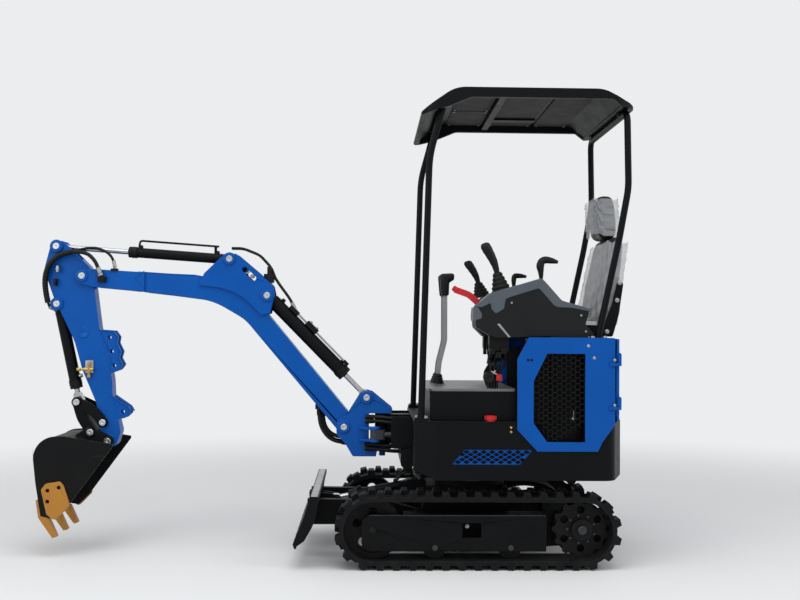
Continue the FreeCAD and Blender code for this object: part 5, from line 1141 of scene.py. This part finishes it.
@dataclass
class Seat:
    """Seat pads, their frame, and the film left on the backrest."""

    # Rows of X, Z: lower rear, lower front, upper front and upper rear corner of each pad, then fill.
    cushion: tuple[Pair, ...] = ((-528, 1030), (-172, 1030), (-166, 1096), (-534, 1082))
    back: tuple[Pair, ...] = ((-655, 1060), (-562, 1060), (-650, 1500), (-706, 1500))
    head: tuple[Pair, ...] = ((-690, 1504), (-612, 1504), (-600, 1692), (-674, 1700))

    def pad(self, corners: Sequence[Pair], half: float, crown: float, channels: Sequence[float],
            across: int = 45, around: int = 64) -> Surface:
        """Crowned pad whose sides pull in between its corners.

        The section is a rounded box between the four corners. Ring i lies at share u of the width, and
        its size falls with the tenth power of u near the ends. The face swells by crown times
        (1 - u^4), and each sewn channel sinks it by a narrow bell curve.

        Args:
            corners: The pad's four corners as X and Z.
            half: Half its width.
            crown: Height of the swell.
            channels: Places of the channels as shares of the width.
            across: Rings over the width.
            around: Points of each ring.

        Returns:
            The surface.
        """
        ring = outline([(*corner, 26) for corner in corners], 14)
        steps = np.linalg.norm(np.diff(ring, axis=0, append=ring[:1]), axis=1)
        lengths = np.concatenate(((0.0,), np.cumsum(steps)))
        spots = np.linspace(0, lengths[-1], around, endpoint=False)
        closed = np.vstack((ring, ring[:1]))
        ring = np.column_stack([np.interp(spots, lengths, closed[:, row]) for row in range(2)])
        middle = ring.mean(axis=0)
        share = np.sin(np.linspace(-1, 1, across) * math.pi / 2)
        swell = crown * (1 - share ** 4)
        for channel in channels:
            swell = swell - crown * 0.8 * np.exp(-((share - channel) / 0.035) ** 2)
        size = (1 - 0.9 * np.abs(share) ** 14)[:, None, None]
        reach = ring - middle
        normal = reach / np.linalg.norm(reach, axis=1, keepdims=True)
        flat = middle + reach[None] * size + normal[None] * swell[:, None, None]
        side = np.broadcast_to((share * half)[:, None], flat.shape[:2])
        return loft(np.stack((flat[..., 0], side, flat[..., 1]), axis=-1))

    def build(self, shop: Workshop) -> None:
        """Adds the pads, frame, bolts and film."""
        for name, node, corners, half, channels in (
                ("seat_pad", "seat_cushion", self.cushion, 222, (-0.45, 0.45)),
                ("back_pad", "seat_backrest", self.back, 218, (-0.45, 0.45)),
                ("head_pad", "headrest", self.head, 118, ())):
            made = shop.piece(name, self.pad(corners, half, 8.0, channels), "seat_vinyl", "house", 60)
            self.inflate(made)
            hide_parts(node)
        self.frame(shop)
        self.film(shop, "seat_film", ((-609, 1075, 62), (-678, 1490, 44)), 226, (-0.30, 0.62))
        self.film(shop, "head_film", ((-651, 1512, 55), (-637, 1694, 53)), 126, (-0.20, 0.62))

    def inflate(self, made: bpy.types.Object, voxel: float = 0.007, cap: float = 0.006) -> None:
        """Swells a pad by cloth under pressure, no point by more than the cap, and smooths it.

        Args:
            made: The pad.
            voxel: Spacing of the even mesh, in metres.
            cap: Longest way that a point may go, in metres.
        """
        even = made.modifiers.new("even", "REMESH")
        even.mode = "VOXEL"
        even.voxel_size = voxel
        even.use_smooth_shade = True
        self.apply(made)
        start = self.points(made.data)
        cloth = made.modifiers.new("swell", "CLOTH")
        cloth.settings.use_pressure = True
        cloth.settings.uniform_pressure_force = 4.0
        cloth.settings.effector_weights.gravity = 0.0
        for frame in range(1, 21):
            bpy.context.scene.frame_set(frame)
        self.apply(made)
        bpy.context.scene.frame_set(1)
        shift = self.points(made.data) - start
        far = np.linalg.norm(shift, axis=1, keepdims=True)
        shift *= np.minimum(1.0, cap / np.maximum(far, 1e-9))
        made.data.vertices.foreach_set("co", (start + shift).ravel())
        made.data.update()
        finer = made.modifiers.new("finer", "SUBSURF")
        finer.levels = finer.render_levels = 1

    def apply(self, made: bpy.types.Object) -> None:
        """Keeps what a piece's modifiers make as its own mesh."""
        bpy.context.view_layer.update()
        evaluated = made.evaluated_get(bpy.context.evaluated_depsgraph_get())
        mesh = bpy.data.meshes.new_from_object(evaluated)
        made.modifiers.clear()
        made.data = mesh

    def points(self, mesh: bpy.types.Mesh) -> np.ndarray:
        """Points of a mesh as rows of X, Y and Z."""
        rows = np.empty(len(mesh.vertices) * 3)
        mesh.vertices.foreach_get("co", rows)
        return rows.reshape(-1, 3)

    def frame(self, shop: Workshop) -> None:
        """Recliner plates, slide rails and their bolts, on both sides of the seat."""
        arm = outline([(-662, 1290, 12), (-690, 1280, 12), (-668, 1130, 40),
                       (-640, 1030, 12), (-500, 1030, 12),
                       (-508, 1066, 16), (-600, 1088, 30), (-636, 1180, 40)])
        shop.piece("recliners", both(plate(arm, 243, 251)), "black_paint", "house")
        rail = plate(outline([(-540, 1019, 2), (-160, 1019, 2), (-160, 1031, 2), (-540, 1031, 2)]), 150, 180)
        shop.piece("seat_rails", both(rail), "black_iron", "house")
        heads = [bolt((x, 251, z), (0, 1, 0), 8, 6) for x, z in ((-672, 1280), (-660, 1199), (-613, 1053),
                                                                (-516, 1053))]
        shop.piece("recliner_bolts", both(join(*heads)), "bare_steel", "house")
        strip = plate(outline([(-483, 1101, 2), (-534, 1099, 2), (-531, 1082, 2), (-483, 1082, 2)]), 398, 401)
        shop.piece("console_strips", both(strip), "bare_steel", "house")

    def film(self, shop: Workshop, name: str, spine_ends: tuple[Point, Point], half: float,
             turns: Pair) -> None:
        """Crumpled clear film round a pad.

        A grid of height by way round: the way is a rounded box a little outside the pad, whose depth
        runs evenly from foot to top, and the film stands off it by 7 mm and three crossing sine folds.

        Args:
            shop: The workshop.
            name: Name of the piece.
            spine_ends: X and Z of the pad's middle line and half its depth, at its foot and top.
            half: Half the pad's width.
            turns: Where the film starts and ends round the pad, as shares of a turn.
        """
        rows, columns = 60, 120
        height = np.linspace(0.02, 0.96, rows)[:, None]
        turn = np.linspace(*turns, columns)[None, :] * 2 * math.pi
        low, high = np.array(spine_ends)
        spine = low + (high - low) * height
        fold = 2.2 * np.sin(turn * 9 + height * 21) + 1.8 * np.sin(turn * 5 - height * 34 + 1)
        fold = fold + 1.4 * np.sin(turn * 17 + height * 9 + 2)
        away = 7 + fold
        cosine, sine = np.cos(turn), np.sin(turn)
        x = spine[:, :1] + np.sign(cosine) * np.abs(cosine) ** 0.45 * (spine[:, 2:] + away)
        y = np.sign(sine) * np.abs(sine) ** 0.3 * (half + away) + 0 * height
        z = spine[:, 1:2] + 5 * np.sin(turn * 3) + 4 * np.sin(height * 30 + turn * 7)
        points = np.stack((x, y, z), axis=-1).reshape(-1, 3)
        row, column = np.meshgrid(np.arange(rows - 1), np.arange(columns - 1), indexing="ij")
        corner = row * columns + column
        quads = np.stack((corner, corner + 1, corner + columns + 1, corner + columns), axis=-1).reshape(-1, 4)
        faces = [tuple(quad) for quad in quads.tolist()]
        made = shop.piece(name, (points, faces), "clear_film", "house", 180)


@dataclass
class Consoles:
    """Shells, caps, screws, hoses and valves of the side consoles."""

    middle: float = 372.0
    half: float = 58.5
    short_from: float = -150.0
    short_share: float = 0.593
    valve_back: float = 55.0
    shell: tuple[tuple[float, ...], ...] = (
        (18, 1162, 4), (-52, 1222, 28), (-280, 1291, 18), (-306, 1264, 6), (-371, 1191, 36), (-502, 1155, 6),
        (-498, 1142, 4), (-420, 1158), (-352, 1161, 12), (-335, 1169, 10), (-273, 1240, 6), (-262, 1243),
        (-188, 1220, 10), (-120, 1197, 12), (-112, 1152, 10), (-75, 1129, 10), (-55, 1152, 6), (-52, 1178, 6),
        (-13, 1158, 4))
    nose: tuple[tuple[float, ...], ...] = (
        (24, 1158, 3), (4, 1163, 3), (-16, 1127, 5), (-13, 1107, 4), (18, 1098, 4), (26, 1113, 4))

    def pair(self, surface: Surface) -> Surface:
        """A left surface and the right one, which is drawn in lengthways ahead of its shortening point."""
        points, faces = mirrored(surface)
        ahead = np.maximum(points[:, 0] - self.short_from, 0)
        points = points - ahead[:, None] * (1 - self.short_share) * np.array((1, 0, 0))
        return join(surface, (points, faces))

    def shorten(self, shop: Workshop) -> None:
        """Draws the right console in as the shells are, and moves the right valve back under it."""
        for node, share, back in (("consoles", self.short_share, 0.0),
                                  ("control_valves", 1.0, self.valve_back)):
            mesh = shop.softened[node].data
            rows = np.empty(len(mesh.vertices) * 3)
            mesh.vertices.foreach_get("co", rows)
            rows = rows.reshape(-1, 3)
            right = rows[:, 1] < 0
            ahead = np.maximum(rows[:, 0] - self.short_from * MM, 0)
            rows[:, 0] -= right * (ahead * (1 - share) + back * MM)
            mesh.vertices.foreach_set("co", rows.ravel())
            mesh.update()

    def build(self, shop: Workshop) -> None:
        """Adds the consoles' pieces on both sides."""
        self.shorten(shop)
        y0, y1 = self.middle - self.half, self.middle + self.half
        shells = self.pair(plate(outline(self.shell), y0, y1, edge=2.5))
        shop.piece("console_shells", shells, "console_shell", "house")
        noses = self.pair(plate(outline(self.nose), y0 + 4, y1 - 3, edge=2.5))
        shop.piece("console_noses", noses, "console_shell", "house")
        screws = [turned([(-1, 5), (2, 5), (3.2, 3.8), (3.2, 2.0), (1.6, 1.6)], (x, 427, z), (0, 1, 0), 18)
                  for x, z in ((-146, 1179), (-458, 1125), (-479, 1053))]
        shop.piece("console_screws", both(join(*screws)), "bare_steel", "house")
        strip = plate(outline([(-81, 1084, 2), (-92, 1087, 2), (-143, 1025, 2), (-132, 1025, 2)]), 427, 430)
        shop.piece("console_plates", both(strip), "bare_steel", "house")
        self.valve(shop)

    def valve(self, shop: Workshop) -> None:
        """Hoses under the left valve down to the deck, its bracket, disc and red tap."""
        hoses = []
        for x, foot in ((-124, -88), (-102, -76), (-80, -64), (-60, -50)):
            for y in (356, 374):
                route = [(x, y, 936), (x, y, 904), (foot - 12, y - 2, 876),
                         (foot, y - 4, 840), (foot, y - 4, 796)]
                hoses.append(swept(route, (6, 6), 12))
        shop.piece("valve_hoses", join(*hoses), "hose_rubber", "house")
        rings = [turned([(-6, 7.5), (-5, 9), (8, 9), (9, 7.5)], (x, y, 934), (0, 0, -1), 6)
                 for x in (-124, -102, -80, -60) for y in (356, 374)]
        shop.piece("valve_nuts", join(*rings), "black_iron", "house")
        bracket = outline([(-42, 993, 6), (-76, 999, 6), (-134, 987, 6), (-134, 936, 6), (-82, 913, 6),
                           (-70, 873, 6), (-72, 804, 4), (-42, 804, 4), (-28, 844, 10), (-33, 873, 6),
                           (-53, 907, 6)])
        shop.piece("valve_bracket", plate(bracket, 340, 346), "black_paint", "house")
        disc = turned([(0, 26), (12, 26), (15, 23), (15, 8), (13, 6)], (-50, 384, 845), (0, 1, 0), 32)
        shop.piece("valve_disc", disc, "black_plastic", "house")
        tap = outline([(-81, 832, 5), (-84, 862, 5), (-108, 858, 6), (-110, 828, 5)])
        shop.piece("valve_tap", join(plate(tap, 386, 396), turned([(0, 8), (6, 8), (7, 6)], (-95, 395, 845),
                                                                 (0, 1, 0), 20)), "red_paint", "house")
        blocks = [box((x - 18, x + 6), (396, 416), (z, z + 24), 3)
                  for x, z in ((-56, 950), (-84, 934), (-108, 952))]
        elbows = [swept([(x, 380, z), (x, 404, z), (x + 8, 410, z - 22)], (7, 7, 6), 14)
                  for x, z in ((-72, 918), (-100, 922), (-50, 930))]
        shop.piece("valve_blocks", join(*blocks, *elbows), "black_iron", "house")
        spokes = [turned([(-14, 4.5), (12, 4.5), (14, 3)], (-72, 392, 866), (math.cos(a), 0, math.sin(a)), 12)
                  for a in (0.5, 2.2)]
        shop.piece("valve_spokes", join(*spokes), "bare_steel", "house")


@dataclass
class Joysticks:
    """Left and right joystick: ribbed boot, moulded grip and its buttons."""

    middle: float = 372.0
    base: float = 1226.0
    right_height: float = 0.84

    def pair(self, surface: Surface) -> Surface:
        """The left stick's surface and the right one's, whose heights over the base are a share lower."""
        points, faces = mirrored(surface)
        lower = points * (1, 1, self.right_height) + (8, 0, self.base * (1 - self.right_height))
        return join(surface, (lower, faces))

    def build(self, shop: Workshop) -> None:
        """Adds boots, grips and buttons, and lets the grips replace the plain sticks."""
        shop.piece("joystick_boots", self.pair(self.boot()), "boot_rubber", "house", 60)
        made = shop.piece("joystick_grips", self.pair(self.grip()), "black_plastic", "house", 60)
        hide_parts("joysticks")
        buttons = [turned([(-2, 5.5), (2.2, 5.5), (3.4, 4.2)], place, (-0.25, 0.1, 1.0), 18)
                   for place in ((-38, self.middle - 8, 1447), (-38, self.middle + 8, 1447))]
        shop.piece("joystick_buttons", self.pair(join(*buttons)), "red_paint", "house")

    def boot(self) -> Surface:
        """Bellows: the radius falls from base to neck and ripples with the sine of the height."""
        share = np.linspace(0, 1, 49)
        radius = 47 - 29 * share + 2.6 * np.sin(share * 2 * math.pi * 5 - 1.2) * (1 - share * 0.4)
        radius[0], radius[-1] = 46, 12
        path = np.column_stack((-108 + 22 * share, np.full(49, self.middle), self.base + 92 * share))
        return carried(path, circle(1, 32), radius)

    def grip(self) -> Surface:
        """Moulded grip: an oval carried up a bent line, waisted below and full at its top."""
        path = np.array([(-88, 1306), (-84, 1326), (-77, 1350), (-67, 1374), (-55, 1397), (-43, 1418),
                         (-34, 1434), (-29, 1444), (-27, 1449)], float)
        radius = np.array((12, 13, 16, 19, 21, 23, 23, 19, 10), float)
        spots = np.linspace(0, len(path) - 1, 33)
        line = np.column_stack([np.interp(spots, np.arange(len(path)), path[:, row]) for row in range(2)])
        size = np.interp(spots, np.arange(len(path)), radius) * (1 + 0.02 * np.cos(spots * 5))
        rows = np.column_stack((line[:, 0], np.full(33, self.middle), line[:, 1]))
        return carried(rows, circle(1, 28) * (0.86, 1.0), size)


@dataclass
class Controls:
    """Grips and feet of the travel levers, the tap on the lock lever, and the grips of the hand levers."""

    spread: float = 58.0
    hand: float = 345.0

    def build(self, shop: Workshop) -> None:
        """Adds the pieces of the floor and hand controls."""
        grip = outline([(108, 1220, 8), (142, 1220, 8), (151, 1323, 13), (80, 1327, 13), (84, 1295, 10),
                        (106, 1283, 12)])
        sleeve = plate(inset(grip, -0.8), self.spread - 15.5, self.spread + 15.5, edge=4)
        shop.piece("travel_grips", both(sleeve), "black_plastic", "house", 50)
        heads = [bolt((x, self.spread, 800), (0, 0, 1), 6, 5) for x in (132, 178)]
        shop.piece("lever_bolts", both(join(*heads)), "bare_steel", "house")
        share = np.linspace(0, 1, 33)
        radius = 30 - 14 * share + 2 * np.sin(share * 2 * math.pi * 4)
        path = np.column_stack((158 - 4 * share, np.full(33, self.spread), 800 + 46 * share))
        shop.piece("lever_boots", both(carried(path, circle(1, 24), radius)), "boot_rubber", "house", 60)
        knob = turned([(-12, 9), (-8, 13), (10, 13), (14, 9)], (96, 306, 1242), (0.82, 0, 0.57), 20)
        shop.piece("lock_knob", knob, "red_paint", "house")
        left = swept([(-291, self.hand, 1272), (-290, self.hand, 1321), (-284, self.hand, 1354),
                      (-298, self.hand, 1378), (-332, self.hand, 1376), (-367, self.hand, 1367)],
                     (8, 9, 13, 18, 17, 16, 13, 7))
        right = swept([(-262, -self.hand, 1256), (-258, -self.hand, 1325), (-270, -self.hand, 1342),
                       (-326, -self.hand, 1333)], (8, 9, 13, 14, 12, 7))
        made = shop.piece("hand_grips", join(left, right), "black_plastic", "house", 60)
        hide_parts("hand_levers")


@dataclass
class Grille:
    """Honeycomb mesh behind the window of each side panel, and the dark cooler behind it."""

    window: tuple[Pair, ...] = ((-243, 758), (-292, 954), (-422, 954), (-472, 882), (-472, 640), (-330, 563))
    pitch: float = 20.3
    rise: float = 25.8
    wire: float = 2.1
    depth: float = 443.0
    margin: float = 14.0

    def cells(self) -> np.ndarray:
        """Middles of the cells that lie inside the window's outline, widened by the margin.

        Columns stand a pitch apart, and every second column is half a rise higher. A middle is inside
        where the cross product with each side of the outline keeps its sign.
        """
        column, row = np.meshgrid(np.arange(-1, 14), np.arange(-1, 18), indexing="ij")
        x = -480 + column * self.pitch
        z = 550 + (row + 0.5 * (column % 2)) * self.rise
        spots = np.column_stack((x.ravel(), z.ravel()))
        corners = inset(np.array(self.window, float), -self.margin)
        side = np.roll(corners, -1, axis=0) - corners
        reach = spots[:, None] - corners[None]
        turn = side[None, :, 0] * reach[..., 1] - side[None, :, 1] * reach[..., 0]
        inside = np.all(turn > 0, axis=1) | np.all(turn < 0, axis=1)
        spots = spots[inside]
        return np.column_stack((spots[:, 0], np.full(len(spots), self.depth), spots[:, 1]))

    def cell(self) -> Surface:
        """Three walls of one cell: its top, and the two that meet at its right corner."""
        wide, tall = self.pitch * 2 / 3, self.rise / 2
        corners = np.array([(-wide / 2, tall), (wide / 2, tall), (wide, 0), (wide / 2, -tall)])
        walls = []
        for start, end in zip(corners[:-1], corners[1:]):
            reach = end - start
            length = float(np.linalg.norm(reach))
            steps = [(-0.8, self.wire), (length + 0.8, self.wire)]
            walls.append(turned(steps, (start[0], 0, start[1]), (reach[0], 0, reach[1]), 6))
        return join(*walls)

    def build(self, shop: Workshop) -> None:
        """Adds the meshes in place of the plain grilles, and the fins behind them."""
        mesh = repeated(self.cell(), self.cells())
        made = shop.piece("side_mesh", both(mesh), "grille_black", "house")
        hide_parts("side_grilles")
        back = box((-484, -232), (396, 399), (552, 962), 2)
        fin = box((-480, -236), (398, 409), (0, 3), 0.8)
        shifts = np.column_stack((np.zeros(33), np.zeros(33), 558 + 12 * np.arange(33)))
        shop.piece("cooler_fins", both(join(back, repeated(fin, shifts))), "grille_black", "house")
        cap = turned([(-4, 7), (4, 7), (6, 5)], (-425, 408, 664), (0, 1, 0), 18)
        stem = turned([(0, 2.4), (30, 2.4)], (-428, 410, 668), (0, 0, 1), 10)
        shop.piece("cooler_cap", join(cap, stem), "bare_steel", "house")


@dataclass
class Panels:
    """Screws, latches and hinge bolts of the side panels and the rear door."""

    face: float = 451.0

    def screw(self, x: float, z: float, radius: float) -> Surface:
        """Flat screw head with a socket in its middle."""
        steps = [(-1, radius), (2.4, radius), (4, radius * 0.72), (4, radius * 0.38), (2.4, radius * 0.3)]
        return turned(steps, (x, self.face, z), (0, 1, 0), 20)

    def build(self, shop: Workshop) -> None:
        """Adds the panels' small pieces."""
        bright = [self.screw(x, z, 7) for x, z in ((-486, 989), (-512, 936))]
        shop.piece("panel_screws", both(join(*bright)), "bare_steel", "house")
        dark = [self.screw(x, 926, 5.5) for x in (-217, -234)]
        shop.piece("panel_marks", both(join(*dark)), "black_iron", "house")
        hinges = [bolt((-601, 462, z), (0, 1, 0), 5, 4) for z in (728, 928)]
        shop.piece("hinge_bolts", join(*hinges), "bare_steel", "house")
        lock = turned([(0, 17), (4, 17), (6, 14), (6, 5), (3, 4)], (-671, -150, 850), (-1, 0, 0), 28)
        shop.piece("door_lock", lock, "bare_steel", "door")
        cap = turned([(0, 22), (7, 22), (8, 25), (22, 25), (25, 21), (25, 8), (23, 6)], (-55, 418, 652),
                     (0, 0, 1), 36)
        ribs = [turned([(-9, 2), (9, 2)], (-55 + 25 * math.cos(a), 418 + 25 * math.sin(a), 667), (0, 0, 1), 8)
                for a in np.arange(12) * math.pi / 6]
        made = shop.piece("fuel_cap", join(cap, *ribs), "red_paint", "house")
        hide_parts("filler_cap")
        studs = [turned([(-1, 5), (5, 5), (6, 3.6)], (-143, 445, z), (0, 1, 0), 18) for z in (626, 607)]
        shop.piece("skirt_studs", both(join(*studs)), "brass", "house")
        cheek = outline([(284, 503, 3), (284, 651, 3), (372, 651, 12), (382, 640, 8), (382, 517, 10),
                         (368, 503, 10)])
        apron = outline([(284, 416, 3), (284, 506, 3), (318, 506, 10), (337, 492, 12), (337, 430, 14),
                         (320, 416, 10)])
        shop.piece("swing_guards", join(both(plate(cheek, 192, 198)), plate(apron, -236, 236)), "black_paint",
                   "house")


@dataclass
class Canopy:
    """Lining panels, rib and strip, screws and bolts of the canopy."""

    ceiling: float = 2134.0
    # Columns: X limits and Y limits of each lining panel.
    panels: tuple[tuple[float, float, float, float], ...] = (
        (-92, 92, -22, 405), (-92, 92, -405, -38), (-348, -128, -405, 405), (-540, -366, -405, 405))

    def build(self, shop: Workshop) -> None:
        """Adds the canopy's pieces."""
        low = self.ceiling - 7
        shells = [box((x0, x1), (y0, y1), (low, self.ceiling - 1), 8) for x0, x1, y0, y1 in self.panels]
        shop.piece("canopy_lining", join(*shells), "lining", "house")
        rib = box((-126, -94), (-422, 422), (2104, self.ceiling - 1), 3)
        strip = box((-346, -126), (-250, -196), (2116, self.ceiling - 1), 6)
        shop.piece("canopy_ribs", join(rib, strip), "black_paint", "house")
        heads = [bolt((x, y, low), (0, 0, -1), 6, 4, False) for x0, x1, y0, y1 in self.panels
                 for x in (x0 + 14, x1 - 14) for y in (y0 + 16, y1 - 16)]
        shop.piece("canopy_screws", join(*heads), "bare_steel", "house")
        feet = [bolt((x, side * y, z), (0, 0, 1), 8, 7) for x, y, z in (
            (232, 382, 665), (232, 414, 665), (272, 382, 665), (-566, 384, 1026), (-566, 420, 1026),
            (-510, 384, 1026), (-510, 420, 1026)) for side in BOTH_SIDES]
        shop.piece("post_bolts", join(*feet), "bare_steel", "house")


@dataclass
class Undercarriage:
    """Bolts, grease plate, guards and wear strips of the tracks and chassis, and a painted highlight strip along
    the blade's top.
    """

    face: float = 432.0
    sprocket: float = -465.7
    axle: float = 170.0

    def build(self, shop: Workshop) -> None:
        """Adds the undercarriage's small pieces."""
        y = self.face
        rollers = [bolt((x, y + 4, 94.3), (0, 1, 0), 10, 7) for x in (190, -146)]
        idler = bolt((-self.sprocket, y + 4, self.axle), (0, 1, 0), 12, 8)
        shop.piece("roller_bolts", both(join(*rollers)), "worn_edge", "undercarriage")
        shop.piece("idler_bolts", both(idler), "black_iron", "undercarriage")
        ring = [bolt((self.sprocket + 62 * math.cos(a), 391, self.axle + 62 * math.sin(a)), (0, 1, 0), 7, 5, False)
                for a in np.arange(9) * 2 * math.pi / 9]
        shop.piece("sprocket_bolts", both(join(*ring)), "worn_edge", "undercarriage")
        grease = bolt((45, 398, 183), (0, 1, 0), 7, 10)
        shop.piece("tension_fittings", both(grease), "bare_steel", "undercarriage")
        lip = plate(outline([(-298, 234, 1), (-298, 238, 1), (480, 238, 1), (480, 234, 1)]),
                    y - 6, y + 1, edge=0.8)
        shop.piece("frame_lips", both(lip), "worn_edge", "undercarriage")
        back = turned([(0, 118), (2, 122), (5, 122), (7, 118)], (self.sprocket, 352, self.axle), (0, 1, 0), 48)
        shop.piece("motor_guards", both(back), "frame_black", "undercarriage")
        hub = turned([(0, 20), (5, 20), (8, 16), (8, 9), (5, 7)], (self.sprocket, 424, self.axle), (0, 1, 0), 32)
        shop.piece("sprocket_hubs", both(hub), "worn_edge", "undercarriage")
        hoses = [swept([(-150, side, 300), (-215, side, 326), (-310, side * 1.5, 326),
                        (-400, side * 2.6, 296), (-448, side * 3.6, 250), (-452, side * 4.1, 222)],
                       (9, 9), 16, 9.0) for side in (40, 62)]
        shop.piece("travel_hoses", both(join(*hoses)), "hose_rubber", "undercarriage")
        heads = [bolt((806, side, 128), (1, 0, 0.15), 9, 5, False)
                 for side in (-380, -230, -80, 80, 230, 380)]
        shop.piece("blade_bolts", join(*heads), "bare_steel", "blade")
        # Painted highlight: a light bare steel strip along the blade's top face, where light from above falls.
        strip = box((708, 738), (-452, 452), (320, 323), 1.0)
        shop.piece("blade_top_highlight_strip", strip, "bare_steel", "blade")


# Studio


@dataclass
class Studio:
    """Floor, lamps, world and camera round the machine, in metres."""

    eye: Point = (0.502, 5.215, 1.067)
    focal_pixels: float = 1079.0
    picture_width: float = 800.0
    yaw: float = 1.794
    pitch: float = 1.446
    roll: float = 0.007
    floor_half: float = 30.0
    pale: Colour = (0.78, 0.78, 0.775)
    backdrop: Colour = (0.84, 0.85, 0.86)
    fade: Pair = (2.2, 6.0)
    # Columns: name, place, size, power.
    lamp_rows: tuple[tuple[str, Point, float, float], ...] = field(default=(
        ("sky_box", (0.6, 2.0, 5.2), 4.5, 150.0), ("front_box", (4.2, 3.6, 2.6), 2.6, 55.0),
        ("rear_box", (-4.0, 2.4, 3.2), 2.6, 45.0)))

    def build(self) -> None:
        """Adds everything and sets the view settings."""
        scene = bpy.context.scene
        scene.view_settings.view_transform = "Standard"
        self.floor()
        self.world()
        self.lamps()
        scene.camera = self.camera()

    def seen(self, tree: Tree) -> bpy.types.NodeSocket:
        """One for rays of the camera and for those that mirrors and glass send on."""
        path = tree.add("ShaderNodeLightPath")
        share = tree.math("MAXIMUM", path.outputs["Is Camera Ray"], path.outputs["Is Transmission Ray"])
        return tree.math("MAXIMUM", share, path.outputs["Is Glossy Ray"])

    def floor(self) -> None:
        """A wide pale floor that fades into the backdrop with the distance from the machine."""
        half = self.floor_half
        points = np.array([(-half, -half, 0), (half, -half, 0), (half, half, 0), (-half, half, 0)], float)
        mesh = mesh_of("studio_floor", (points, [(0, 1, 2, 3)]), 1.0)
        material = bpy.data.materials.new("studio_floor")
        material.use_nodes = True
        tree = Tree(material.node_tree)
        place = tree.add("ShaderNodeTexCoord")
        noise = tree.add("ShaderNodeTexNoise", {"Vector": place.outputs["Object"], "Scale": 3.0,
                                                "Detail": 6.0})
        colour = tree.mix(noise.outputs["Fac"], self.pale, tuple(part * 0.97 for part in self.pale))
        shader = tree.add("ShaderNodeBsdfPrincipled", {"Base Color": colour, "Roughness": 0.8,
                                                       "Specular IOR Level": 0.1})
        far = tree.add("ShaderNodeVectorMath", {0: place.outputs["Object"]}, operation="LENGTH")
        share = tree.add("ShaderNodeMapRange", {"Value": far.outputs["Value"], "From Min": self.fade[0],
                                                "From Max": self.fade[1]}, interpolation_type="SMOOTHSTEP")
        share = tree.math("MULTIPLY", share.outputs["Result"], self.seen(tree))
        back = tree.add("ShaderNodeEmission", {"Color": (*self.backdrop, 1.0), "Strength": 1.0})
        both_parts = tree.add("ShaderNodeMixShader", {0: share, 1: shader.outputs[0], 2: back.outputs[0]})
        tree.add("ShaderNodeOutputMaterial", {"Surface": both_parts.outputs[0]})
        mesh.materials.append(material)
        floor = bpy.data.objects.new("studio_floor", mesh)
        bpy.context.scene.collection.objects.link(floor)

    def world(self) -> None:
        """Soft light from all round; the camera and mirrors see it as a pale backdrop."""
        world = bpy.data.worlds.new("studio")
        world.use_nodes = True
        bpy.context.scene.world = world
        tree = Tree(world.node_tree)
        soft = tree.add("ShaderNodeBackground", {"Color": (0.93, 0.96, 1.0, 1.0), "Strength": 0.6})
        back = tree.add("ShaderNodeBackground", {"Color": (*self.backdrop, 1.0), "Strength": 1.0})
        both_parts = tree.add("ShaderNodeMixShader", {0: self.seen(tree),
                                                      1: soft.outputs[0], 2: back.outputs[0]})
        tree.add("ShaderNodeOutputWorld", {"Surface": both_parts.outputs[0]})

    def lamps(self) -> None:
        """Broad soft boxes that look at the machine's middle."""
        for name, place, size, power in self.lamp_rows:
            data = bpy.data.lights.new(name, "AREA")
            data.size = size
            data.energy = power
            lamp = bpy.data.objects.new(name, data)
            lamp.location = place
            aim = Vector((0.5, 0.0, 0.8)) - Vector(place)
            lamp.rotation_euler = aim.to_track_quat("-Z", "Y").to_euler()
            bpy.context.scene.collection.objects.link(lamp)

    def camera(self) -> bpy.types.Object:
        """Camera fitted to the photograph's perspective; returns it."""
        data = bpy.data.cameras.new("camera")
        data.sensor_fit = "HORIZONTAL"
        data.sensor_width = 36.0
        data.lens = self.focal_pixels / self.picture_width * data.sensor_width
        data.clip_end = 200.0
        yaw, pitch = math.radians(self.yaw), math.radians(self.pitch)
        forward = Vector((-math.sin(yaw) * math.cos(pitch), -math.cos(yaw) * math.cos(pitch),
                          math.sin(pitch)))
        right = forward.cross(Vector((0, 0, 1))).normalized()
        up = right.cross(forward)
        tilted = right * math.cos(self.roll) + up * math.sin(self.roll)
        top = up * math.cos(self.roll) - right * math.sin(self.roll)
        turn = Matrix((tilted, top, -forward)).transposed()
        camera = bpy.data.objects.new("camera", data)
        camera.matrix_world = Matrix.Translation(Vector(self.eye)) @ turn.to_4x4()
        bpy.context.scene.collection.objects.link(camera)
        return camera


def main() -> None:
    """Loads the frame, dresses it and reports each step."""
    logging.basicConfig(level=logging.INFO, format="%(message)s")
    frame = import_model()
    Studio().build()
    shop = Workshop(frame)
    for node, finish, width in SOFTENED:
        shop.soften(node, finish, width * MM)
    for node, finish in DRESSED.items():
        shop.dress(node, finish)
    for builder in (Pins(), *CYLINDERS, *HOSES, BoomTrim(), ArmTrim(), Seat(), Consoles(), Joysticks(),
                    Controls(), Grille(), Panels(), Canopy(), Undercarriage()):
        builder.build(shop)


if __name__ == "__main__":
    main()
